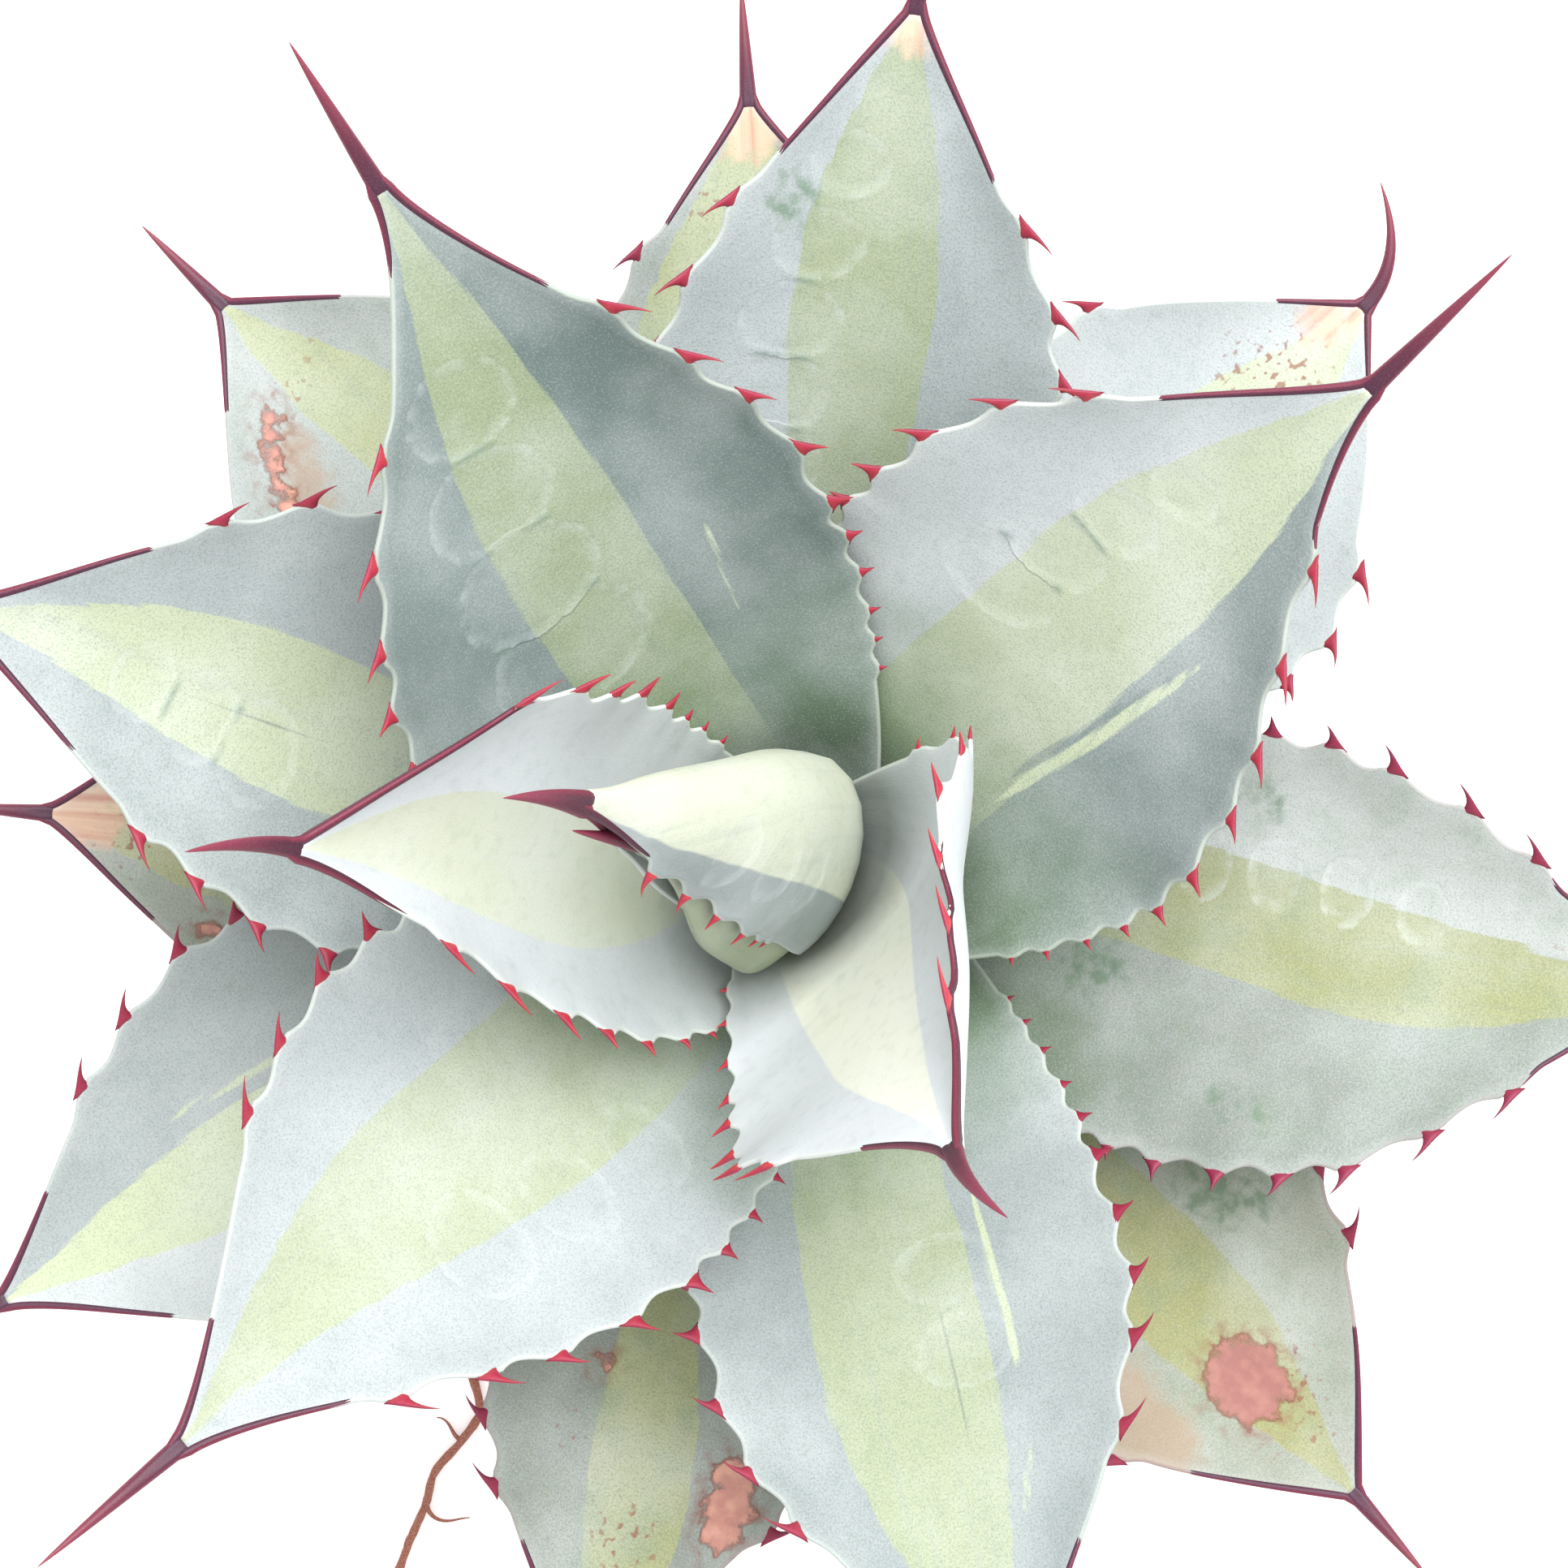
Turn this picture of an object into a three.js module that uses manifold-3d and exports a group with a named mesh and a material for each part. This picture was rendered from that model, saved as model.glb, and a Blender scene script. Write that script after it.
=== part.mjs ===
// Potted agave, Agave parryi, with a pale middle stripe: a rosette of sixteen open leaves round a leaning
// cone of rolled young leaves, on a short stem, in a plain terracotta pot with a rim band.
// Millimetres, +Z up. The pot stands on z = 0 and the spread of the whole plant is centred on the origin.

import * as THREE from 'three';
import { mergeVertices } from 'three/addons/utils/BufferGeometryUtils.js';
import Module from 'manifold-3d';

// Driving dimensions

const GAP = 0.3; // left between pieces that touch
const TRIM = 0.45; // clearance grown round a younger leaf when an older one is trimmed to it
const WELD = 1e-3; // points closer than this are one point

const POT_HEIGHT = 130;
const POT_RIM_RADIUS = 76;
const POT_RIM_DROP = 2; // how much the rim band narrows towards its lower edge
const POT_BAND_HEIGHT = 28;
const POT_BAND_STEP = 5; // how far the band stands out of the wall
const POT_FOOT_RADIUS = 50;
const POT_WALL = 6;
const POT_FLOOR = 8;
const POT_EDGE = 2; // bevel of the rim
const POT_FOOT_EDGE = 1.5; // bevel of the foot
const DRAIN_RADIUS = 8;
const POT_SIDES = 40;

const SOIL_DROP = 12; // soil level under the rim
const SOIL_RISE = 1.5; // how far it rises towards the middle

const CROWN_Z = POT_HEIGHT + 4; // level of the lowest leaf base
const STEM_RADIUS = 20; // at the crown level
const STEM_TAPER = 0.27; // loss of radius for each millimetre of height
const STEM_TOP = 46; // height of the stem's tip over the crown level
const STEM_DEPTH = 48; // length of the stem under the crown level
const STEM_FOOT_RADIUS = 14;
const STEM_BULGE = 1; // how far it swells under the crown level
const STEM_SHOULDER = 4; // depth under the crown level at which its taper starts
const STEM_SIDES = 20;

const LEAF_ROWS = 12; // steps along a blade
const LEAF_BASE_THICKNESS = 6; // of the oldest leaf
const LEAF_THINNING = 0.035; // loss of base thickness for each millimetre of height
const LEAF_TIP_THICKNESS = 2.6;
const MARGIN_THICKNESS = 1.1;
const LENS_POWER = 2.2; // how evenly a blade stays thick towards its margins
const UPPER_SHARE = 0.4; // share of a blade's thickness that lies over its middle surface
const AXIS_HANDLE = 0.42; // a blade's first straight run against its span
const BASE_FULLNESS = 0.9; // under 1, so that a blade widens soon after its base
const TWIST_OVER = 0.6; // share of the blade over which its twist comes in
const FURL_FROM = 0.2; // share of the blade where its gutter starts to change
const FURL_OVER = 0.5; // share over which it then does
const BLADE_END_HALF_WIDTH = 1.8; // where the spine takes over
const ROOT_SUNK = 2.5; // depth to which a blade starts inside the stem before it is trimmed

const TOOTH_LENGTH = 4.6;
const TOOTH_ROOT = 3.2; // width of the horny tooth along the margin
const TOOTH_STEP = 11; // from tooth to tooth at mid leaf
const FIRST_TOOTH_STEP = 5;
const FIRST_TOOTH_SIZE = 0.45; // of the full size
const TEETH_GROWTH = 0.3; // share of the blade along which the teeth reach full size
const TOOTH_SWAY = 0.12; // how unevenly they stand
const HOOK_FORWARD = 1.2; // lean of the lowest teeth towards the tip
const HOOK_BACK = 2; // lean of the highest teeth towards the base
const PROMINENCE = 1.9; // height of the fleshy bump under each tooth
const TEETH_FROM = 0.24; // share of the blade where the teeth start
const TEETH_TO = 0.84; // and where the smooth horny border starts
const BORDER_POINT = 0.35; // share of that border at which its outline has a point
const FIRST_HOLLOW = 0.03; // share of the blade between the first tooth and the hollow before it
const STAGGER = 0.01; // steps by which the first teeth of the margins differ

const SPINE_SIDES = 6;
const SPINE_HALF = [1.8, 1.5]; // half its width and half its depth at the root
const SPINE_TAPER = 0.75; // under 1, so that its sides bulge

const ROOT_RADIUS = 1.1;

const COLOURS = {
  terracotta: 0xb5684a,
  soil: 0x4b3a2e,
  stem: 0xb9a98a,
  leaf: 0xaebfb8,
  horn: 0x6b2238,
  root: 0x8a5a48,
};

// Each leaf, from the youngest to the oldest. `turn` is the bearing of its base, `rise` the height of
// its base over the crown level, `pitch` its slope there and `end` the place where the blade gives way
// to the spine, measured from the stem's axis at the crown level. In each pair the first value is the
// side towards a growing bearing: greatest half width, where along the blade it lies, how sharply the
// outline then falls, and the half angle of the gutter near the base and near the tip. `wrap` is the
// share of the blade that curls round the heart, and `spine` holds the length, lift and side bend.

const LEAVES = [
  { turn: 318, rise: 44, pitch: 68, end: [21, -36, 148], half: [40, 33.5], belly: [0.34, 0.6],
    point: [1.4, 1.35], neck: 0.46, cup: [30, 10], furl: [75, 10], wrap: 0.42, twist: 22,
    spine: [22, -8, 11] },
  { turn: 186, rise: 40, pitch: 52, end: [-73, 6, 136], half: [27, 34], belly: [0.3, 0.68],
    point: [1.5, 1], neck: 0.4, cup: [34, 34], furl: [50, 50], wrap: 0.6, twist: 0, spine: [21, -4, 10] },
  { turn: 121, rise: 35.5, pitch: 46, end: [-63, 104, 118], half: [44, 36], belly: [0.5, 0.54],
    point: [1.5, 1.3], neck: 0.5, cup: [24, 24], furl: [40, 40], wrap: 0.45, twist: 0, spine: [26, 0, 0] },
  { turn: 36, rise: 31, pitch: 45, end: [86, 75, 112], half: [45, 40], belly: [0.6, 0.45],
    point: [1.1, 1.5], neck: 0.5, cup: [24, 24], furl: [40, 40], wrap: 0.45, twist: 0, spine: [30, 0, 0] },
  { turn: 226, rise: 28, pitch: 42, end: [-95, -86, 105], half: [35, 43], belly: [0.5, 0.6],
    point: [1.3, 1.2], neck: 0.5, cup: [24, 24], furl: [40, 40], wrap: 0.45, twist: 0, spine: [28, 0, 0] },
  { turn: 83, rise: 25, pitch: 34, end: [18, 137, 90], half: [36, 34], belly: [0.6, 0.6],
    point: [1, 1.1], neck: 0.5, cup: [24, 24], furl: [40, 40], wrap: 0.45, twist: 0, spine: [24, 0, 0] },
  { turn: 166, rise: 21, pitch: 32, end: [-134, 43, 85], half: [34, 40], belly: [0.56, 0.62],
    point: [1.1, 1.1], neck: 0.5, cup: [24, 24], furl: [40, 40], wrap: 0.45, twist: 0, spine: [24, 0, 0] },
  { turn: 284, rise: 19, pitch: 32, end: [34, -133, 85], half: [38, 36], belly: [0.58, 0.6],
    point: [1.1, 1.1], neck: 0.5, cup: [24, 24], furl: [40, 40], wrap: 0.45, twist: 0, spine: [26, 0, 0] },
  { turn: 353, rise: 14.5, pitch: 20, end: [150, -19, 50], half: [34, 43], belly: [0.56, 0.56],
    point: [1.2, 1.2], neck: 0.5, cup: [24, 24], furl: [40, 40], wrap: 0.45, twist: 0, spine: [24, 0, 0] },
  { turn: 208, rise: 12, pitch: 18, end: [-136, -73, 45], half: [36, 40], belly: [0.6, 0.62],
    point: [1.2, 1.1], neck: 0.5, cup: [24, 24], furl: [40, 40], wrap: 0.45, twist: 0, spine: [24, 0, 0] },
  { turn: 136, rise: 8.5, pitch: 14, end: [-101, 99, 30], half: [35, 38], belly: [0.66, 0.68],
    point: [1.1, 1], neck: 0.5, cup: [24, 24], furl: [40, 40], wrap: 0.45, twist: 0, spine: [20, 0, 0] },
  { turn: 45, rise: 6.5, pitch: 14, end: [98, 98, 35], half: [38, 38], belly: [0.68, 0.66],
    point: [1, 1], neck: 0.5, cup: [24, 24], furl: [40, 40], wrap: 0.45, twist: 0, spine: [22, 0, 38] },
  { turn: 255, rise: 8, pitch: 14, end: [-38, -142, 35], half: [33, 33], belly: [0.6, 0.62],
    point: [1.1, 1.1], neck: 0.5, cup: [24, 24], furl: [40, 40], wrap: 0.45, twist: 0, spine: [22, 0, 0] },
  { turn: 312, rise: 4, pitch: 10, end: [98, -110, 25], half: [34, 33], belly: [0.66, 0.66],
    point: [1, 1], neck: 0.5, cup: [24, 24], furl: [40, 40], wrap: 0.45, twist: 0, spine: [20, 0, 0] },
  { turn: 94, rise: 1.5, pitch: 10, end: [-9, 136, 22], half: [32, 34], belly: [0.62, 0.62],
    point: [1.1, 1.1], neck: 0.5, cup: [24, 24], furl: [40, 40], wrap: 0.45, twist: 0, spine: [22, 0, 0] },
  { turn: 176, rise: -1.5, pitch: 8, end: [-134, 10, 18], half: [35, 33], belly: [0.62, 0.62],
    point: [1.1, 1.1], neck: 0.5, cup: [24, 24], furl: [40, 40], wrap: 0.45, twist: 0, spine: [20, 0, 0] },
];

// The cone of rolled leaves leans to the left. Its outer leaf is a wall round a smooth inner bud, open
// over a strip that faces down and left.
const HEART = {
  base: [0, 0, STEM_TOP + GAP],
  end: [-31, 12.3, 140],
  handle: [0.8, 2, 79], // the axis leaves its base towards this point
  radii: [7.5, 13.5, 18.6, 18.3, 16.5, 12.6, 8.2, 2.6], // half widths at equal steps from base to end
  flatness: 0.6, // its depth against its width
  openFrom: 52, // bearings of the open strip round the cone's axis, from its lower side
  openTo: 135,
  wall: 2.4,
  tipWall: 1.6,
  length: 105,
  teeth: [0.45, 0.86, 0.85], // where they start and end, and their size
  spine: [21, 0, 6],
  spineHalf: [3, 2.2],
};
const BUD = {
  share: 0.86, // its length against the outer leaf
  tipShare: 0.35, // its width at the tip against the room inside the outer leaf
  taper: 0.3, // share of the length along which it narrows to that
  ridge: 3, // how far its own folded edge fills the open strip
  ridgeWidth: 22, // degrees
  lean: 3.2, // how far its tip leans into the open strip
  spineFrom: 0.84,
  spineAim: [60, 5], // bearing and distance that its spine points to beside the outer leaf's end
  spineLength: 20,
  spineHalf: [1.6, 1.3],
};

// Route of the one root that grew out over the rim, chosen by hand from the stem to its loose end.
const ROOT_ROUTE = [
  [-13, -21, 120.5], [-25, -40, 120.2], [-31, -51, 121.5], [-34, -55.4, 127.5], [-36.1, -58.8, 132.2],
  [-38.7, -63.1, 132.5], [-40.8, -66.5, 131], [-41.5, -67.7, 127], [-41.3, -67.4, 108], [-41, -67, 75],
  [-44, -72, 35], [-51, -83, 8], [-61, -98, 1.5], [-68, -108, 1.3], [-73, -114, 1.3], [-71, -125, 1.3],
  [-75, -132, 1.3], [-81, -139, 1.3], [-83, -146, 1.3], [-86, -153, 1.3], [-89, -161, 1.3], [-91, -170, 1.3],
];

// Small helpers

const rad = THREE.MathUtils.degToRad;
const lerp = THREE.MathUtils.lerp;
const clamp = THREE.MathUtils.clamp;
const vec = (x, y, z) => new THREE.Vector3(x, y, z);

function smooth(x) {
  const k = clamp(x, 0, 1);
  return k * k * (3 - 2 * k);
}

function stemRadius(height) {
  return STEM_RADIUS - STEM_TAPER * height;
}

const wasm = await Module();
wasm.setup();

// A closed solid from a list of points and a list of triangles.
function solid(points, faces) {
  const vertProperties = new Float32Array(points.flatMap((p) => [p.x, p.y, p.z]));
  const triVerts = new Uint32Array(faces.flat());
  return new wasm.Manifold(new wasm.Mesh({ numProp: 3, vertProperties, triVerts }));
}

function fromGeometry(geometry) {
  geometry.deleteAttribute('normal');
  geometry.deleteAttribute('uv');
  const merged = mergeVertices(geometry, WELD);
  const vertProperties = new Float32Array(merged.attributes.position.array);
  const triVerts = new Uint32Array(merged.index.array);
  return new wasm.Manifold(new wasm.Mesh({ numProp: 3, vertProperties, triVerts }));
}

function toGeometry(body) {
  const data = body.getMesh();
  const geometry = new THREE.BufferGeometry();
  geometry.setAttribute('position', new THREE.BufferAttribute(data.vertProperties, 3));
  geometry.setIndex(new THREE.BufferAttribute(data.triVerts, 1));
  return geometry;
}

// The largest body of a solid: trimming can leave crumbs beside it, some hanging on by a thread.
function largest(body) {
  const bodies = fromGeometry(toGeometry(body)).decompose();
  return bodies.reduce((best, one) => (one.volume() > best.volume() ? one : best));
}

function meshOf(name, body, colour, roughness) {
  const geometry = toGeometry(body);
  geometry.computeVertexNormals();
  const material = new THREE.MeshStandardMaterial({ color: colour, roughness, metalness: 0 });
  const mesh = new THREE.Mesh(geometry, material);
  mesh.name = name;
  return mesh;
}

function leafBaseThickness(rise) {
  return LEAF_BASE_THICKNESS - LEAF_THINNING * rise;
}

// Blade shape

// Centre line of a leaf: a quadratic curve that leaves the stem at the leaf's bearing and pitch.
function leafAxis(leaf) {
  const a = rad(leaf.turn);
  const e = rad(leaf.pitch);
  const r = stemRadius(leaf.rise) - ROOT_SUNK;
  const start = vec(r * Math.cos(a), r * Math.sin(a), leaf.rise);
  const end = vec(...leaf.end);
  const heading = vec(Math.cos(e) * Math.cos(a), Math.cos(e) * Math.sin(a), Math.sin(e));
  const handle = start.clone().addScaledVector(heading, AXIS_HANDLE * start.distanceTo(end));
  return new THREE.QuadraticBezierCurve3(start, handle, end);
}

// Half width of a blade at a share t of its length, on side 0 or 1.
function halfWidth(leaf, t, side) {
  const full = leaf.half[side];
  const belly = leaf.belly[side];
  if (t < belly) {
    const atBase = full * leaf.neck;
    return atBase + (full - atBase) * Math.sin((Math.PI / 2) * (t / belly)) ** BASE_FULLNESS;
  }
  const x = Math.min((t - belly) / (1 - belly), 1);
  const fall = Math.max(Math.cos((Math.PI / 2) * x), 0) ** leaf.point[side];
  return (full - BLADE_END_HALF_WIDTH) * fall + BLADE_END_HALF_WIDTH;
}

// Middle surface of a leaf at t along it and v across it, from -1 to 1. Near the stem it lies on a
// funnel round the axis, so that younger leaves nest inside older ones. Farther out it is a gutter.
function leafSurface(leaf, t, v) {
  const axis = leafAxis(leaf);
  const centre = axis.getPoint(t);
  const tangent = axis.getTangent(t);
  const side = v >= 0 ? 0 : 1;
  const half = halfWidth(leaf, t, side);

  const radius = Math.hypot(centre.x, centre.y);
  const bearing = Math.atan2(centre.y, centre.x) + (v * half) / radius;
  const funnel = vec(radius * Math.cos(bearing), radius * Math.sin(bearing), centre.z);

  const across = vec(-tangent.y, tangent.x, 0).normalize();
  const up = tangent.clone().cross(across);
  const roll = rad(leaf.twist) * smooth(t / TWIST_OVER);
  across.applyAxisAngle(tangent, roll);
  up.applyAxisAngle(tangent, roll);
  const bend = rad(lerp(leaf.cup[side], leaf.furl[side], smooth((t - FURL_FROM) / FURL_OVER)));
  const arc = half / bend;
  const gutter = centre.clone();
  gutter.addScaledVector(across, arc * Math.sin(v * bend));
  gutter.addScaledVector(up, arc * (1 - Math.cos(v * bend)));

  return funnel.lerp(gutter, smooth(t / leaf.wrap));
}

// Middle surface of the outer rolled leaf of the heart: round its leaning axis.
function heartAxis() {
  const start = vec(...HEART.base);
  const end = vec(...HEART.end);
  const handle = vec(...HEART.handle);
  return new THREE.QuadraticBezierCurve3(start, handle, end);
}

function heartRadius(t) {
  const place = clamp(t, 0, 1) * (HEART.radii.length - 1);
  const i = Math.min(Math.floor(place), HEART.radii.length - 2);
  const before = HEART.radii[Math.max(i - 1, 0)];
  const from = HEART.radii[i];
  const to = HEART.radii[i + 1];
  const after = HEART.radii[Math.min(i + 2, HEART.radii.length - 1)];
  const k = place - i;
  const slopeIn = (to - before) / 2;
  const slopeOut = (after - from) / 2;
  const k2 = k * k;
  const k3 = k2 * k;
  const value = from * (2 * k3 - 3 * k2 + 1) + to * (3 * k2 - 2 * k3);
  return value + slopeIn * (k3 - 2 * k2 + k) + slopeOut * (k3 - k2);
}

// A point round the heart's axis, on a flattened ring whose half width is `distance`. Bearing 0 is the
// side that the heart leans to, and 90 the lower side as seen from above.
function roundHeart(t, bearing, distance) {
  const axis = heartAxis();
  const tangent = axis.getTangent(t);
  const lean = vec(HEART.end[0], HEART.end[1], 0).normalize();
  const side = vec(-lean.y, lean.x, 0);
  const front = side.clone().cross(tangent).normalize();
  const point = axis.getPoint(t);
  point.addScaledVector(front, HEART.flatness * distance * Math.cos(bearing));
  point.addScaledVector(side, distance * Math.sin(bearing));
  return point;
}

const openStrip = rad((HEART.openFrom + HEART.openTo) / 2);

function heartSurface(t, v) {
  const middle = openStrip + Math.PI;
  const reach = Math.PI - rad((HEART.openTo - HEART.openFrom) / 2);
  return roundHeart(t, middle + v * reach, heartRadius(t) - HEART.wall / 2);
}

// A toothed blade as one closed solid. `place` gives its middle surface, `thickness` its thickness on
// the midline, `columns` the lines along it and `swell` the clearance grown round it for trimming.
function blade(place, thickness, columns, teeth, swell = 0) {
  const step = 1e-3;
  const normalAt = (t, v) => {
    const a = place(Math.max(t - step, 0), v);
    const b = place(Math.min(t + step, 1), v);
    const c = place(t, Math.max(v - step, -1));
    const d = place(t, Math.min(v + step, 1));
    return b.sub(a).cross(d.sub(c)).normalize();
  };
  // A grown blade also reaches past its two ends.
  const overrun = (t, v) => {
    const ahead = place(Math.min(t + step, 1), v).sub(place(Math.max(t - step, 0), v)).normalize();
    const share = Number(t === 1) - Number(t === 0);
    return ahead.multiplyScalar(share * swell);
  };
  const faceAt = (t, v, side) => {
    const lens = 1 - Math.abs(v) ** LENS_POWER;
    const depth = lerp(MARGIN_THICKNESS, thickness(t), lens) + 2 * swell;
    const upper = lerp(0.5, UPPER_SHARE, lens);
    const share = side > 0 ? upper : 1 - upper;
    return place(t, v).addScaledVector(normalAt(t, v), side * share * depth).add(overrun(t, v));
  };

  const points = [];
  const faces = [];
  const add = (point) => points.push(point) - 1;

  // Lines of points along the blade. Each entry is [t, index].
  const line = (v, side) => {
    const list = [];
    for (let i = 0; i <= LEAF_ROWS; i += 1) {
      const t = i / LEAF_ROWS;
      list.push([t, add(faceAt(t, v, side))]);
    }
    return list;
  };

  // Outline of one margin, with its bumps, hollows and teeth, as a line of upper and one of lower points.
  const margin = (v) => {
    const upper = [];
    const lower = [];
    const push = (t, out, along, sharp) => {
      const edge = place(t, v);
      const inner = place(t, v * 0.98);
      const outward = edge.clone().sub(inner).normalize();
      const ahead = place(Math.min(t + step, 1), v).sub(place(Math.max(t - step, 0), v)).normalize();
      const normal = normalAt(t, v);
      const point = edge.addScaledVector(outward, out + swell).addScaledVector(ahead, along);
      point.add(overrun(t, v));
      const half = sharp ? 0 : MARGIN_THICKNESS / 2 + swell;
      const top = add(point.clone().addScaledVector(normal, half));
      upper.push([t, top]);
      lower.push([t, sharp ? top : add(point.clone().addScaledVector(normal, -half))]);
    };
    push(0, 0, 0, false);
    for (const tooth of teeth(v)) {
      push(tooth.valley, 0, 0, false);
      push(tooth.t - tooth.root, tooth.bump, 0, false);
      push(tooth.t, tooth.bump + tooth.length, tooth.hook, swell === 0);
      push(tooth.t + tooth.root, tooth.bump, 0, false);
    }
    push(lerp(TEETH_TO, 1, BORDER_POINT), 0, 0, false);
    push(1, 0, 0, false);
    return { upper, lower };
  };

  // Triangles between two lines that run the same way.
  const stitch = (left, right) => {
    let i = 0;
    let j = 0;
    while (i < left.length - 1 || j < right.length - 1) {
      const leftNext = i < left.length - 1 ? left[i + 1][0] : Infinity;
      const rightNext = j < right.length - 1 ? right[j + 1][0] : Infinity;
      if (leftNext <= rightNext) {
        faces.push([left[i][1], left[i + 1][1], right[j][1]]);
        i += 1;
      } else {
        faces.push([left[i][1], right[j + 1][1], right[j][1]]);
        j += 1;
      }
    }
  };

  const low = margin(-1);
  const high = margin(1);
  const tops = columns.map((v) => line(v, 1));
  const bottoms = columns.map((v) => line(v, -1));
  const ring = [low.upper, ...tops, high.upper, high.lower, ...bottoms.reverse(), low.lower];
  for (let i = 0; i < ring.length; i += 1) {
    stitch(ring[i], ring[(i + 1) % ring.length]);
  }
  const startCap = ring.map((list) => list[0][1]);
  const endCap = ring.map((list) => list[list.length - 1][1]);
  const count = columns.length + 2;
  for (let i = 0; i < count - 1; i += 1) {
    const across = ring.length - 1 - i;
    faces.push([startCap[i], startCap[i + 1], startCap[across]]);
    faces.push([startCap[i + 1], startCap[across - 1], startCap[across]]);
    faces.push([endCap[i], endCap[across], endCap[i + 1]]);
    faces.push([endCap[i + 1], endCap[across], endCap[across - 1]]);
  }
  const used = faces.filter(([a, b, c]) => a !== b && b !== c && a !== c);
  const body = solid(points, used);
  return body.volume() < 0 ? solid(points, used.map(([a, b, c]) => [a, c, b])) : body;
}

// Places of the teeth along one margin, closer and smaller towards the base, hooked back near the tip.
function teethOf(seed, length, from, to, scale = 1) {
  return (v) => {
    const list = [];
    let before = from - FIRST_HOLLOW;
    let t = from + STAGGER * ((seed * 7 + (v > 0 ? 3 : 0)) % 4);
    let i = 0;
    while (t < to) {
      const grown = smooth((t - from) / TEETH_GROWTH);
      const size = scale * lerp(FIRST_TOOTH_SIZE, 1, grown);
      const sway = TOOTH_SWAY * Math.sin(seed * 2.3 + i * 1.9 + v);
      const root = (0.5 * TOOTH_ROOT * size) / length;
      list.push({
        t,
        root,
        valley: (before + t - root) / 2,
        bump: PROMINENCE * size,
        length: TOOTH_LENGTH * size * (1 + sway),
        hook: lerp(HOOK_FORWARD, -HOOK_BACK, smooth((t - from) / (to - from))) * size,
      });
      before = t + root;
      t += (lerp(FIRST_TOOTH_STEP, TOOTH_STEP, grown) * (1 + sway)) / length;
      i += 1;
    }
    return list;
  };
}

// A tapering curved horn from a start point along a heading, with a blunt oval root.
function horn(start, heading, across, up, length, lift, swing, halfWide, halfDeep) {
  const bent = heading.clone().addScaledVector(up, Math.tan(rad(lift)));
  bent.addScaledVector(across, Math.tan(rad(swing))).normalize();
  const points = [];
  const faces = [];
  const shares = [0, 0.3, 0.65, 0.9];
  for (const q of shares) {
    const middle = start.clone().addScaledVector(heading, q * (1 - q) * length);
    middle.addScaledVector(bent, q * q * length);
    const size = (1 - q) ** SPINE_TAPER;
    for (let i = 0; i < SPINE_SIDES; i += 1) {
      const a = (2 * Math.PI * i) / SPINE_SIDES;
      const point = middle.clone().addScaledVector(across, halfWide * size * Math.cos(a));
      points.push(point.addScaledVector(up, halfDeep * size * Math.sin(a)));
    }
  }
  points.push(start.clone().addScaledVector(bent, length));
  for (let row = 0; row < shares.length - 1; row += 1) {
    for (let i = 0; i < SPINE_SIDES; i += 1) {
      const a = row * SPINE_SIDES + i;
      const b = row * SPINE_SIDES + ((i + 1) % SPINE_SIDES);
      faces.push([a, b, b + SPINE_SIDES]);
      faces.push([a, b + SPINE_SIDES, a + SPINE_SIDES]);
    }
  }
  const last = (shares.length - 1) * SPINE_SIDES;
  for (let i = 0; i < SPINE_SIDES; i += 1) {
    faces.push([last + i, last + ((i + 1) % SPINE_SIDES), points.length - 1]);
  }
  for (let i = 1; i < SPINE_SIDES - 1; i += 1) {
    faces.push([0, i + 1, i]);
  }
  const body = solid(points, faces);
  return body.volume() < 0 ? solid(points, faces.map(([a, b, c]) => [a, c, b])) : body;
}

// Sub-parts

const bandFoot = POT_HEIGHT - POT_BAND_HEIGHT;
const wallTop = POT_RIM_RADIUS - POT_RIM_DROP - POT_BAND_STEP;
const wallSlope = (wallTop - POT_FOOT_RADIUS) / bandFoot;
const innerFoot = POT_FOOT_RADIUS + wallSlope * POT_FLOOR - POT_WALL;
const innerTop = POT_RIM_RADIUS - POT_WALL - POT_EDGE;
const edgeLevel = POT_HEIGHT - POT_EDGE;

function potBody() {
  const profile = [
    [DRAIN_RADIUS, 0], [POT_FOOT_RADIUS - POT_FOOT_EDGE, 0], [POT_FOOT_RADIUS, POT_FOOT_EDGE],
    [wallTop, bandFoot], [POT_RIM_RADIUS - POT_RIM_DROP, bandFoot], [POT_RIM_RADIUS, edgeLevel],
    [POT_RIM_RADIUS - POT_EDGE, POT_HEIGHT], [POT_RIM_RADIUS - POT_WALL, POT_HEIGHT], [innerTop, edgeLevel],
    [innerFoot, POT_FLOOR], [DRAIN_RADIUS, POT_FLOOR], [DRAIN_RADIUS, 0],
  ];
  const points = profile.map(([x, y]) => new THREE.Vector2(x, y));
  return fromGeometry(new THREE.LatheGeometry(points, POT_SIDES).rotateX(Math.PI / 2));
}

// Soil fills the pot to below its rim, with a plain hole for the stem.
function soilBody() {
  const slope = (innerTop - innerFoot) / (edgeLevel - POT_FLOOR);
  const top = POT_HEIGHT - SOIL_DROP;
  const floor = POT_FLOOR + GAP;
  const radiusAt = (z) => innerFoot + slope * (z - POT_FLOOR) - 2 * GAP;
  const profile = [[0, floor], [radiusAt(floor), floor], [radiusAt(top), top], [0, top + SOIL_RISE]];
  const points = profile.map(([x, y]) => new THREE.Vector2(x, y));
  const filled = fromGeometry(new THREE.LatheGeometry(points, POT_SIDES).rotateX(Math.PI / 2));
  return filled.subtract(stemBody(GAP).translate([0, 0, CROWN_Z]));
}

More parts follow.
